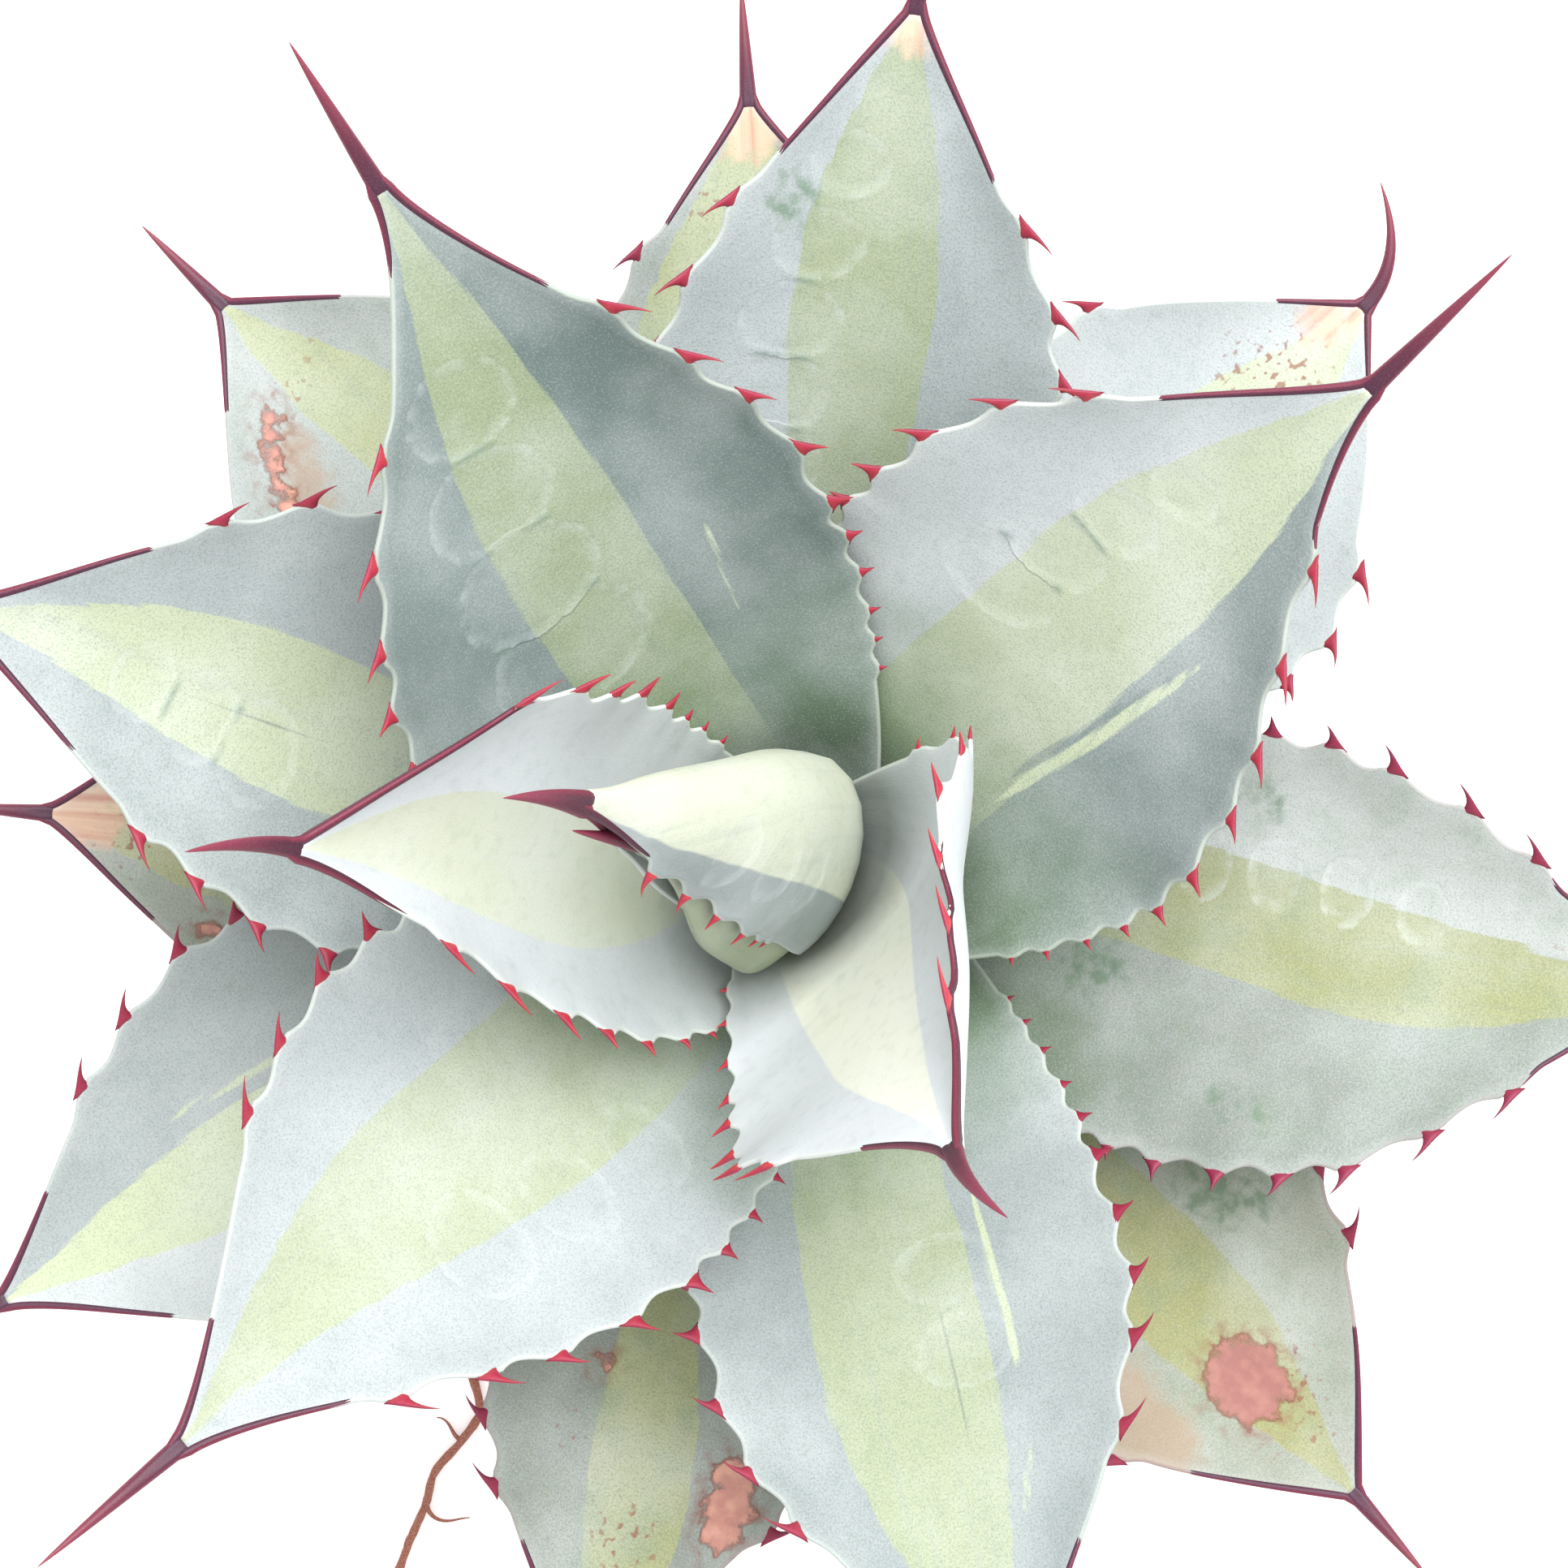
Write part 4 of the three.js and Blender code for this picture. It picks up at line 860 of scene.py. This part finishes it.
def waxy_skin(name, look, marks):
    """Agave skin: grey green flesh colour, dulled and made matt by a bloom of wax whose grains are a
    third of a millimetre wide. It carries the pale middle stripe and, of the soft streaks, the prints
    of the bud and the dry papery scars of old leaves, only those that are among the marks."""
    material, add = new_material(name, 0.6, 0.25)
    mark = {key: add("Attribute", out="Fac", attribute_name=key) for key in marks}
    lie = mark["lie"].node.outputs["Vector"]
    patterns = []
    for wide, long, detail in SKIN_PATTERNS.values():
        scaled = add("VectorMath", lie, (1 / wide, 1 / long, 1 / wide), operation="MULTIPLY")
        patterns.append(add("TexNoise", scaled, Scale=1.0, Detail=detail))
    grain, mottle, clouds, patches, jogs, fibres, rust = patterns

    def aged(low, high, top=1.0):
        """How far the leaf's age has come from low to high, up to top."""
        return top * min(max((look["age"] - low) / (high - low), 0), 1)

    def ragged(depth, texture, reach):
        """A depth whose outline wanders with a texture by half of reach to either side."""
        return add("MULTIPLY_ADD", add("SUBTRACT", texture, 0.5), reach, depth)

    pale_flank = add("MixRGB", aged(0.35, 1.0, 0.8), FLANK_PALE, FLANK_OLD)
    deep_flank = add("MixRGB", aged(0.4, 0.65), FLANK_DEEP, FLANK_DEEP_OLD)
    flank = add("MixRGB", mark["deep"], pale_flank, deep_flank)
    young_stripe = add("MixRGB", aged(0.05, 0.4, 0.55), STRIPE_PALE, STRIPE_MIDDLE)
    pale_stripe = add("MixRGB", aged(0.4, 0.9, 0.85), young_stripe, STRIPE_OLD)
    deep_stripe = add("MixRGB", aged(0.35, 0.55), STRIPE_DEEP, STRIPE_DEEP_OLD)
    stripe = add("MixRGB", look["deep"][1], pale_stripe, deep_stripe)
    stripe = add("MixRGB", add("MapRange", fibres, 0.55, 0.8, 0, 0.25), stripe, flank)
    edge = ragged(ragged(mark["stripe"], jogs, aged(0, 0.2, 2.2)), fibres, 0.8)

    near_stem = ragged(mark["from_stem"], clouds, 30)
    base_green = add("MixRGB", add("MapRange", near_stem, 80, 50), PATCH_GREEN, BASE_GREEN)
    greened = add("MULTIPLY", add("MapRange", near_stem, 62, 28, 0, 0.75), aged(0.0, 0.2))
    patched = add("MULTIPLY", add("MapRange", patches, 0.5, 0.7, 0, 0.4), aged(0.35, 0.6))

    # Each layer is a colour and how much of it lies over those before it
    layers = [
        (stripe, add("MapRange", edge, -0.2, 0.3)),
        (base_green, add("MAXIMUM", greened, patched)),
        # painted shade: each blade darkens over its first 36 mm from the stem, where the heart and the
        # leaves above shade it
        (PAINTED_BASE_SHADE, add("MapRange", mark["from_stem"], 36, 24, 0, 0.75)),
    ]
    if "dark" in mark:
        layers.append((FLANK_DEEP, add("MapRange", mark["dark"], -0.15, 0.2, 0, 0.6)))
    if "pale" in mark:
        streak = add("MapRange", ragged(mark["pale"], jogs, 1.2), -0.2, 0.3, 0, 0.8)
        layers.append((STREAK_PALE, streak))
    rough = add("MULTIPLY_ADD", mark["deep"], 0.5, aged(0.0, 0.2, 0.7))
    layers += [
        (WAX, add("MapRange", clouds, 0.4, 0.75, 0, 0.3)),
        (CREASE, add("MapRange", mottle, 0.52, 0.75, 0, 0.12)),
        (CREASE, add("MULTIPLY", add("MapRange", grain, 0.48, 0.32, 0, 0.32), rough)),
        (WAX, add("MULTIPLY", add("MapRange", grain, 0.52, 0.72, 0, 0.13), rough)),
    ]
    height = add("MULTIPLY", add("ADD", grain, fibres), 0.3)

    if "even_print" in mark:
        lenses = [ragged(mark[key], mottle, 2.0) for key in ("even_print", "odd_print")]
        rims, pads, creases = [], [], []
        for lens in lenses:
            rims.append(add("MULTIPLY", add("MapRange", lens, -0.4, 0.3), add("MapRange", lens, 3.0, 0.3)))
            pads.append(add("MapRange", lens, -0.5, 2.5))
            creases.append(add("MapRange", add("ABSOLUTE", lens), 1.8, 0.1))
        under = add("MapRange", lenses[0], 0.3, -0.3)
        rim = add("MAXIMUM", rims[0], add("MULTIPLY", rims[1], under))
        pad = add("MAXIMUM", pads[0], add("MULTIPLY", pads[1], under))
        crease = add("MULTIPLY", *creases)
        worn = add("MULTIPLY", add("MapRange", mottle, 0.38, 0.62), 0.2 + aged(0.4, 0.55, 0.1))
        layers.append((WAX, add("MULTIPLY", rim, worn)))
        layers.append((CREASE, add("MULTIPLY", crease, 0.5)))
        height = add("SUBTRACT", add("ADD", height, pad), add("MULTIPLY", crease, 0.4))
    if "specks" in mark:
        near = add("MapRange", mark["specks"], 0, 9)
        spots = add("MapRange", add("MULTIPLY_ADD", near, 0.13, rust), 0.7, 0.78, 0, 0.7)
        layers.append((SPECK, add("MULTIPLY", spots, near)))
    if "smudges" in mark:
        stain = add("MapRange", ragged(mark["smudges"], mottle, 9), -1.5, 2.5, 0, 0.65)
        layers.append((SMUDGE, add("MULTIPLY", stain, add("MapRange", mottle, 0.3, 0.6))))
    if "tans" in mark:
        papery = add("MixRGB", add("MapRange", fibres, 0.4, 0.65), TAN, TAN_PINK)
        layers.append((papery, add("MapRange", ragged(mark["tans"], mottle, 8), -1.5, 2.0, 0, 0.8)))
    if "blushes" in mark:
        flushed = add("MapRange", ragged(mark["blushes"], mottle, 7), -2.0, 2.0, 0, 0.6)
        layers.append((BLUSH, flushed))
    if "scabs" in mark:
        scab = ragged(ragged(mark["scabs"], mottle, 6), grain, 1.2)
        halo = add("MapRange", scab, -3.5, -0.2, 0, 0.45)
        flakes = add("MULTIPLY", add("MapRange", mottle, 0.42, 0.7), aged(1.1, 0.7))
        crust = add("MixRGB", aged(0.7, 0.95), SCAB_MIDDLE, SCAB_OLD)
        layers += [
            (SPECK, add("MULTIPLY", halo, add("MapRange", mottle, 0.4, 0.6))),
            (SCAB_RIM, add("MapRange", scab, -0.6, 0.0, 0, 0.55)),
            (add("MixRGB", flakes, crust, SCAB_PALE), add("MapRange", scab, 0.0, 1.1, 0, 0.92)),
        ]
        height = add("SUBTRACT", height, add("MapRange", scab, -0.3, 0.8, 0, 1.4))
    lip = add("MapRange", mark["rim"], 0.5, 0.1)
    layers += [
        (WAX, add("MapRange", mark["rim"], 2.4, 0.0, 0, 0.15)),
        (MARGIN_PALE, add("MULTIPLY", lip, aged(0.6, 0.2, 0.3))),
        (MARGIN_OLD, add("MULTIPLY", lip, aged(0.4, 0.8, 0.6))),
    ]

    colour = flank
    for tone, amount in layers:
        colour = add("MixRGB", amount, colour, tone)
    return finished(material, colour, add("Bump", Height=height, Strength=0.6, Distance=0.3 * MM))


# Teeth and spines are hard dry horn that grew as one with the blade. Each tooth is a hooked thorn whose
# foot spreads along the margin's bump. The spine ends the midrib, grooved on top, and its horn runs
# back along both margins as a smooth border.

SPINE_HALF = (1.6, 1.4)
SPINE_TAPER = 0.75
SPINE_OVERLAP = 2.5  # how far the spine's root laps back over the blade's end
SPINE_SIDES = 16
SPINE_ROWS = 34
TOOTH_SIDES = 10
TOOTH_ROWS = 12
TOOTH_FOOT = 2.6  # half the length of a full tooth's foot along the margin
HOOK_BACK = 1.6  # how much further than its plain form a tooth's tip bends along the margin
BORDER_SIDES = 8
BORDER_ROWS = 36
BORDER_HALF = (0.9, 0.48)
BORDER_RUN_OUT = 5  # length over which a border melts into the spine
BORDER_SUNK = 0.35
MELT_ROWS = 5
MELT_SHARE = 0.12  # a border's tone, as a share of the way to the spine's tip
SPINE_FOOT = 0.3  # thickness of the spine where its root begins, against its full one
GROOVE_DEPTH = 0.35
GROOVE_END = 0.45
SPINE_POINT = 0.04
TOOTH_POINT = 0.03
TOOTH_SUNK = 0.7
TOOTH_HALF_DEPTH = 0.62
TOOTH_HANDLE = (0.62, 0.12)
HOOK_AHEAD = 0.7
GAP = 0.3

YOUNG_HORN = ("#3e1328", "#50152d", "#8b2c46")  # from root to tip
OLD_HORN = ("#432038", "#5d2139", "#8a3d47")
HORN_EDGE = "#7c1c38"
HORN_GREY = "#8b6d80"
YOUNG_TOOTH = ("#c8443e", "#b5203a", "#c0452f")
OLD_TOOTH = ("#8b2742", "#84193c", "#5c1733")
HORN_STOPS = (0, 0.3, 1)  # where the three tones lie between root and tip
HORN_SCUFF = 0.24


def dry_horn(name, young, old, edge):
    """Hard horn with a dull gloss: three tones from root to tip that darken as the leaf ages, redder
    edges, and a thin grey bloom where it has weathered."""
    material, add = new_material(name, 0.42, 0.45)
    share, side, age = (add("Attribute", out="Fac", attribute_name=key) for key in ("share", "edge", "age"))
    tones = [add("ValToRGB", share), add("ValToRGB", share)]
    for tone, colours in zip(tones, (young, old)):
        put_on_ramp(tone.node.color_ramp, tuple(zip(HORN_STOPS, colours)))
    cloud = add("TexNoise", add("NewGeometry"), Scale=1 / (HORN_SCUFF * MM), Detail=4, Roughness=0.6)
    tone = add("MixRGB", add("MapRange", age, 0.0, 0.5), *tones)
    tone = add("MixRGB", add("MapRange", side, 0.35, 0.95, 0, 0.8), tone, edge)
    tone = add("MixRGB", add("MapRange", cloud, 0.5, 0.8, 0, 0.28), tone, HORN_GREY)
    return finished(material, tone, add("Bump", Height=cloud, Strength=0.3, Distance=0.15 * MM))


spine_horn = dry_horn("spine_horn", YOUNG_HORN, OLD_HORN, HORN_EDGE)
tooth_horn = dry_horn("tooth_horn", YOUNG_TOOTH, OLD_TOOTH, OLD_TOOTH[1])


def sweep_horn(path, up, wide, deep, sides, groove=0.0):
    """Points of a horn that follows a path, with half widths across and up, grooved on its back."""
    path = np.asarray(path, float)
    tangent = unit(np.gradient(path, axis=0))
    across = unit(np.cross(np.broadcast_to(up, path.shape), tangent))
    lift = np.cross(tangent, across)
    angle = full_turn(sides)
    dip = np.exp(-(((angle - np.pi / 2) / 0.5) ** 2))
    reach = 1 - np.asarray(groove)[..., None] * dip if np.ndim(groove) else 1 - groove * dip
    reach = np.broadcast_to(reach, (len(path), sides))
    points = path[:, None] + across[:, None] * (np.asarray(wide)[:, None] * reach * np.cos(angle))[..., None]
    return points + lift[:, None] * (np.asarray(deep)[:, None] * reach * np.sin(angle))[..., None]


def joined(parts, age):
    """One mesh from several horns, with each point's share of the way to the tip and how near it is
    to the horn's edge."""
    points, faces, shares, edges, first = [], [], [], [], 0
    for rings, share in parts:
        rows, sides = rings.shape[:2]
        points.append(rings.reshape(-1, 3))
        faces += ring_faces(rows, sides, first)
        shares.append(np.repeat(share, sides))
        edges.append(np.tile(np.cos(full_turn(sides)) ** 2, rows))
        first += rows * sides
    shares = np.concatenate(shares)
    values = {"share": shares, "edge": np.concatenate(edges), "age": np.full(shares.shape, age)}
    return np.concatenate(points), faces, values


def horn_piece(name, parts, age, material, cad_node):
    """A piece of horn that takes the place of a CAD node, or of its share of one."""
    points, faces, values = joined(parts, age)
    made = mesh_object(name, points, faces, material, values)
    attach(made, "root")
    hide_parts(cad_node)


def tooth_parts(surface, teeth, side):
    parts = []
    q = np.linspace(0, 1, TOOTH_ROWS)
    for tooth in teeth:
        point, normal, outward, ahead, _ = surface(tooth["t"], float(side))
        size, length = tooth["size"], tooth["length"] * mix(0.78, 0.96, smooth((tooth["t"] - 0.3) / 0.3))
        root = point - outward * TOOTH_SUNK * size
        bend = tooth["hook"] * (HOOK_BACK if tooth["hook"] < 0 else HOOK_AHEAD)
        tip = point + outward * length + ahead * bend
        handle = point + outward * length * TOOTH_HANDLE[0] - ahead * TOOTH_HANDLE[1] * tooth["hook"]
        path, _ = along_curve((root, handle, tip), q)
        wide = TOOTH_FOOT * size * (0.7 * (1 - q) ** 4 + 0.3 * (1 - q)) + TOOTH_POINT
        deep = TOOTH_HALF_DEPTH * size * (1 - q) ** 0.8 * smooth((q + 0.06) / 0.24) + TOOTH_POINT
        parts.append((sweep_horn(path, normal, wide, deep, TOOTH_SIDES), q))
    return parts


def spine_parts(line, twist, spine, half, surface, border, taper=SPINE_TAPER):
    """The end spine and the two borders of horn that run back from it."""
    length, lift, swing = spine
    end, heading = along_curve(line, np.array(1.0))
    across = unit(np.array([-heading[1], heading[0], 0.0]))
    up = np.cross(heading, across)
    angle = np.array(math.radians(twist))
    across, up = turned(across, heading, angle), turned(up, heading, angle)
    bent = unit(heading + up * math.tan(math.radians(lift)) + across * math.tan(math.radians(swing)))
    start = end + heading * GAP
    q = np.linspace(-SPINE_OVERLAP / length, 1, SPINE_ROWS)
    k = np.maximum(q, 0)
    path = start + heading * (np.where(q < 0, q, k * (1 - k)) * length)[:, None]
    path = path + bent * (k * k * length)[:, None]
    share = (1 - k) ** taper * mix(SPINE_FOOT, 1, smooth((q * length + SPINE_OVERLAP) / SPINE_OVERLAP))
    wide, deep = half[0] * share + SPINE_POINT, half[1] * share + SPINE_POINT
    rings = sweep_horn(path, up, wide, deep, SPINE_SIDES, GROOVE_DEPTH * smooth((GROOVE_END - k) / 0.4))
    parts = [(rings, np.clip(q, 0, 1))]
    for side, reach in zip((1.0, -1.0), border):
        t = np.linspace(1, reach, BORDER_ROWS)
        point, normal, outward, _, _ = surface(t, side)
        share = np.linspace(0, 1, BORDER_ROWS)
        size = mix(BORDER_HALF[1], BORDER_HALF[0], (1 - share) ** 1.5) * smooth((1.02 - share) / 0.15)
        path, k = point - outward * BORDER_SUNK, np.linspace(1, 0.2, MELT_ROWS)[:, None]
        melt = path[0] + heading * (k * BORDER_RUN_OUT) + (end - path[0]) * 0.8 * k
        path = np.concatenate([melt, path])
        normal = np.concatenate([np.repeat(normal[:1], MELT_ROWS, 0), normal])
        size = np.concatenate([size[0] * (1 - 0.75 * k[:, 0]), size])
        strip = sweep_horn(path, normal, size + TOOTH_POINT, 0.85 * size + TOOTH_POINT, BORDER_SIDES)
        parts.append((strip, MELT_SHARE * np.concatenate([np.ones(MELT_ROWS), 1 - share])))
    return parts


for index, leaf in enumerate(LEAVES):
    number = f"{index + 1:02d}"
    line = centre_line(leaf)
    length = curve_length(line)
    root_thickness = LEAF_BASE_THICKNESS - LEAF_THINNING * leaf["rise"]
    high = teeth_of(index, length, 1)
    low = teeth_of(index, length, -1)
    made, surface = blade(
        "blade_" + number,
        leaf_place(leaf),
        lambda t, side, leaf=leaf: blade_half_width(leaf, t, side),
        length,
        lambda t, root=root_thickness: mix(root, LEAF_TIP_THICKNESS, t),
        (low, high),
        dict(leaf, phase=0.7 * index),
    )
    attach(made, "root")
    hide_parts("leaf_" + number)
    thorns = tooth_parts(surface, high, 1) + tooth_parts(surface, low, -1)
    horn_piece("teeth_" + number, thorns, leaf["age"], tooth_horn, "leaf_" + number)
    horn = spine_parts(line, leaf["twist"], leaf["spine"], SPINE_HALF, surface, leaf["border"])
    horn_piece("horn_" + number, horn, leaf["age"], spine_horn, "spine_" + number)


# The heart is the cone of young leaves that are still rolled round each other, a little flattened. The
# outer one is wound over a smooth inner bud, its toothed margin lies on the bud, and the cone leans to
# the left.

HEART_BASE = (0, 0, STEM_TOP + GAP)
HEART_END = (-31, 12.3, 140)
HEART_HANDLE = (0.8, 2, 79)
HEART_RADII = (7.5, 13.5, 18.6, 18.3, 16.5, 12.6, 8.2, 2.6)
HEART_FLATNESS = 0.6
HEART_OPEN = (52, 135)
HEART_WALL = 2.4
HEART_TIP_WALL = 1.6
HEART_LENGTH = 105
HEART_SPINE = (21, 0, 6)
HEART_SPINE_HALF = (2.1, 1.6)
HEART_SPINE_TAPER = 0.9
HEART_BORDER = (0.84, 0.86)
HEART_TEETH = (0.45, 0.86, 0.85)  # first and last place, and size
BARE_MARGIN = ({"t": 0.5, "size": 0.01, "length": 0.1, "hook": 0},)  # a bump too small to show
BUD_SHARE = 0.86
BUD_TIP_SHARE = 0.35
BUD_TAPER = 0.3
BUD_RIDGE = 3
BUD_RIDGE_WIDTH = 22
BUD_LEAN = 3.2
BUD_SPINE_FROM = 0.84
BUD_SPINE_AIM = (60, 5)
BUD_SPINE_LENGTH = 20
BUD_SPINE_HALF = (1.6, 1.3)
BUD_DEEP = 0.9
BUD_ROWS = 90
BUD_SIDES = 96


def heart_radius(t):
    """A cubic through the radii at equal steps."""
    radii = np.array(HEART_RADII, float)
    place = np.clip(t, 0, 1) * (len(radii) - 1)
    i = np.minimum(place.astype(int), len(radii) - 2)
    k = place - i
    before, low = radii[np.maximum(i - 1, 0)], radii[i]
    high, after = radii[i + 1], radii[np.minimum(i + 2, len(radii) - 1)]
    slope_in, slope_out = (high - before) / 2, (after - low) / 2
    k2, k3 = k * k, k * k * k
    rise = low * (2 * k3 - 3 * k2 + 1) + high * (3 * k2 - 2 * k3)
    return rise + slope_in * (k3 - 2 * k2 + k) + slope_out * (k3 - k2)


heart_line = tuple(np.array(place, float) for place in (HEART_BASE, HEART_HANDLE, HEART_END))


def round_heart(t, bearing, distance):
    """Points on flattened rings round the heart's axis. Bearing 0 is the side that it leans to."""
    t, bearing, distance = np.broadcast_arrays(t, bearing, distance)
    point, tangent = along_curve(heart_line, t)
    lean = unit(np.array([HEART_END[0], HEART_END[1], 0.0]))
    side = np.array([-lean[1], lean[0], 0.0])
    front = unit(np.cross(np.broadcast_to(side, tangent.shape), tangent))
    point = point + front * (HEART_FLATNESS * distance * np.cos(bearing))[..., None]
    return point + side * (distance * np.sin(bearing))[..., None]


open_strip = math.radians(sum(HEART_OPEN) / 2)
heart_reach = math.pi - math.radians(HEART_OPEN[1] - HEART_OPEN[0]) / 2


def heart_place(t, v):
    t, v = np.broadcast_arrays(np.asarray(t, float), np.asarray(v, float))
    return round_heart(t, open_strip + math.pi + v * heart_reach, heart_radius(t) - HEART_WALL / 2)


def heart_half(t, side):
    return heart_reach * heart_radius(np.asarray(t, float)) + 0 * np.asarray(side)


heart_look = leaf_with(
    phase=13.0,
    age=0.0,
    deep=(0.1, 0.4, 0.7),
    stripe=((0.6, 0.6, 0.6), (-0.72, -0.72, -0.8)),
    prints=((0.72, -0.68, 0.5, -0.68, 3, 6.5, 6.5),),
)
heart_teeth = teeth_of(5, HEART_LENGTH, -1, *HEART_TEETH)
heart, heart_surface = blade(
    "heart_outer_rolled",
    heart_place,
    heart_half,
    HEART_LENGTH,
    lambda t: mix(HEART_WALL, HEART_TIP_WALL, t),
    (heart_teeth, BARE_MARGIN),
    heart_look,
)
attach(heart, "root")
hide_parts("heart_outer")
thorns = tooth_parts(heart_surface, heart_teeth, -1)
horn_piece("teeth_heart", thorns, heart_look["age"], tooth_horn, "heart_outer")
horn = spine_parts(
    heart_line, 0, HEART_SPINE, HEART_SPINE_HALF, heart_surface, HEART_BORDER, HEART_SPINE_TAPER
)
horn_piece("horn_heart", horn, heart_look["age"], spine_horn, "spine_heart_outer")


def bud_lean(t):
    return BUD_LEAN * smooth((t - BUD_SHARE + BUD_TAPER) / BUD_TAPER)


bud_t = np.linspace(0, BUD_SHARE, BUD_ROWS)[:, None]
bud_turn = full_turn(BUD_SIDES)[None, :]
bud_taper = smooth((BUD_SHARE - bud_t) / BUD_TAPER)
bud_room = heart_radius(bud_t) - HEART_WALL - 2 * GAP
off_ridge = np.minimum(bud_turn, 2 * np.pi - bud_turn) / math.radians(BUD_RIDGE_WIDTH)
bud_radius = bud_room * mix(BUD_TIP_SHARE, 1, bud_taper) + BUD_RIDGE * bud_taper * np.exp(-(off_ridge**2))
bud_shift = round_heart(bud_t, open_strip, bud_lean(bud_t)) - round_heart(bud_t, open_strip, 0.0)
bud_points = round_heart(bud_t, open_strip + bud_turn, bud_radius) + bud_shift
bud_t_all, bud_turn_all = np.broadcast_arrays(bud_t, bud_turn)
bud_lie = np.stack([bud_turn_all * bud_radius, bud_t_all * HEART_LENGTH, 0 * bud_t_all + 900], -1)
bud_look = leaf_with(age=0.0, deep=(BUD_DEEP, BUD_DEEP, BUD_DEEP))
bud_values = {key: np.full(bud_t_all.size, 99.0) for key in ("stripe", "rim", "from_stem")}
bud_values["deep"] = np.full(bud_t_all.size, BUD_DEEP)
bud_values["lie"] = bud_lie.reshape(-1, 3)
bud = mesh_object(
    "heart_inner_bud",
    bud_points.reshape(-1, 3),
    ring_faces(BUD_ROWS, BUD_SIDES),
    waxy_skin("waxy_skin_of_bud", bud_look, bud_values),
    bud_values,
)
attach(bud, "root")
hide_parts("heart_inner")

bud_start = round_heart(BUD_SPINE_FROM, open_strip, bud_lean(BUD_SPINE_FROM))
bud_aim, bud_aim_distance = BUD_SPINE_AIM
bud_heading = unit(round_heart(1.0, math.radians(bud_aim), bud_aim_distance) - bud_start)
bud_up = np.cross(bud_heading, unit(np.array([-bud_heading[1], bud_heading[0], 0.0])))
q = np.linspace(0, 1, SPINE_ROWS)
taper = (1 - q) ** SPINE_TAPER
rings = sweep_horn(
    bud_start + bud_heading * (q * BUD_SPINE_LENGTH)[:, None],
    bud_up,
    BUD_SPINE_HALF[0] * taper + SPINE_POINT,
    BUD_SPINE_HALF[1] * taper + SPINE_POINT,
    SPINE_SIDES,
)
horn_piece("horn_bud", [(rings, q)], bud_look["age"], spine_horn, "spine_heart_inner")


# One thin brown root has grown out over the rim. It hangs down the wall, lies along the surface, and
# carries a few short side roots.

ROOT_ROUTE = (
    (-13, -21, 120.5), (-25, -40, 120.2), (-31, -51, 121.5), (-34, -55.4, 127.5), (-36.1, -58.8, 132.2),
    (-38.7, -63.1, 132.5), (-40.8, -66.5, 131), (-41.5, -67.7, 127), (-41.3, -67.4, 108), (-41, -67, 75),
    (-44, -72, 35), (-51, -83, 8), (-61, -98, 1.5), (-68, -108, 1.3), (-73, -114, 1.3), (-71, -125, 1.3),
    (-75, -132, 1.3), (-81, -139, 1.3), (-83, -146, 1.3), (-86, -153, 1.3), (-89, -161, 1.3),
    (-91, -170, 1.3),
)
ROOT_RADIUS = 1.1
ROOT_KNOBS = 0.12
ROOT_SIDES = 10
SIDE_ROOT_ROWS = 14
SIDE_ROOT_SIDES = 6
ROOT_LIE = 1.25  # height of its middle where it lies on the surface
ROOT_BROWN = "#8a5546"
ROOT_PINK = "#b98374"
SIDE_ROOTS = (  # place on the route, length, bearing
    (12, 9, 200), (14, 14, 300), (16, 8, 170), (18, 12, 320), (19, 9, 210),
)
ROOT_RING = 0.36


def root_skin():
    """Dry root bark: matt red brown with pale rings where it has shrunk."""
    material, add = new_material("dry_root", 0.85, 0.2)
    rings = add("TexNoise", add("NewGeometry"), Scale=1 / (ROOT_RING * MM), Detail=4)
    tone = add("MixRGB", add("MapRange", rings, 0.35, 0.7), ROOT_BROWN, ROOT_PINK)
    return finished(material, tone, add("Bump", Height=rings, Strength=0.6, Distance=0.3 * MM))


def catmull(points, steps):
    """A smooth line through points, with so many steps between each two."""
    p = np.asarray(points, float)
    p = np.vstack([2 * p[0] - p[1], p, 2 * p[-1] - p[-2]])
    k = np.linspace(0, 1, steps, endpoint=False)[:, None]
    line = []
    for a, b, c, d in zip(p, p[1:], p[2:], p[3:]):
        bend, twist = 2 * a - 5 * b + 4 * c - d, 3 * b - a - 3 * c + d
        line.append(0.5 * (2 * b + (c - a) * k + bend * k**2 + twist * k**3))
    return np.vstack([*line, p[-2:-1]])


to_crown = np.array([0, 0, -pot_high.z / MM - CROWN_OVER_RIM])
root_line = catmull(np.array(ROOT_ROUTE) + to_crown, 8)
root_line[:, 2] = np.maximum(root_line[:, 2], to_crown[2] + ROOT_LIE)
share = np.linspace(0, 1, len(root_line))
knobs = 1 + ROOT_KNOBS * np.sin(share * 190) * np.sin(share * 71)
radius = np.minimum(ROOT_RADIUS * knobs * mix(1.05, 0.8, share), 1.2)
root_side = np.array([0.31, 0.95, 0.05])
root_parts = [(sweep_horn(root_line, root_side, radius, radius, ROOT_SIDES), share)]
for place, length, bearing in SIDE_ROOTS:
    start = np.array(ROOT_ROUTE[place]) + to_crown
    k = np.linspace(0, 1, SIDE_ROOT_ROWS)
    angle = math.radians(bearing) + 0.9 * np.sin(3 * k + place)
    steps = np.stack([np.cos(angle), np.sin(angle), np.zeros_like(k)], -1) * length / SIDE_ROOT_ROWS
    path = start + np.cumsum(steps, axis=0) - np.array([0, 0, 0.5]) * k[:, None]
    size = 0.45 * (1 - k) + 0.12
    root_parts.append((sweep_horn(path, np.array([0.0, 0.0, 1.0]), size, size, SIDE_ROOT_SIDES), k))
points, faces, values = joined(root_parts, 1.0)
root = mesh_object("root_dry", points, faces, root_skin(), values)
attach(root, "root")
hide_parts("root")


size = {"cad": cad_box, "visual": [list(corner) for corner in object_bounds()]}
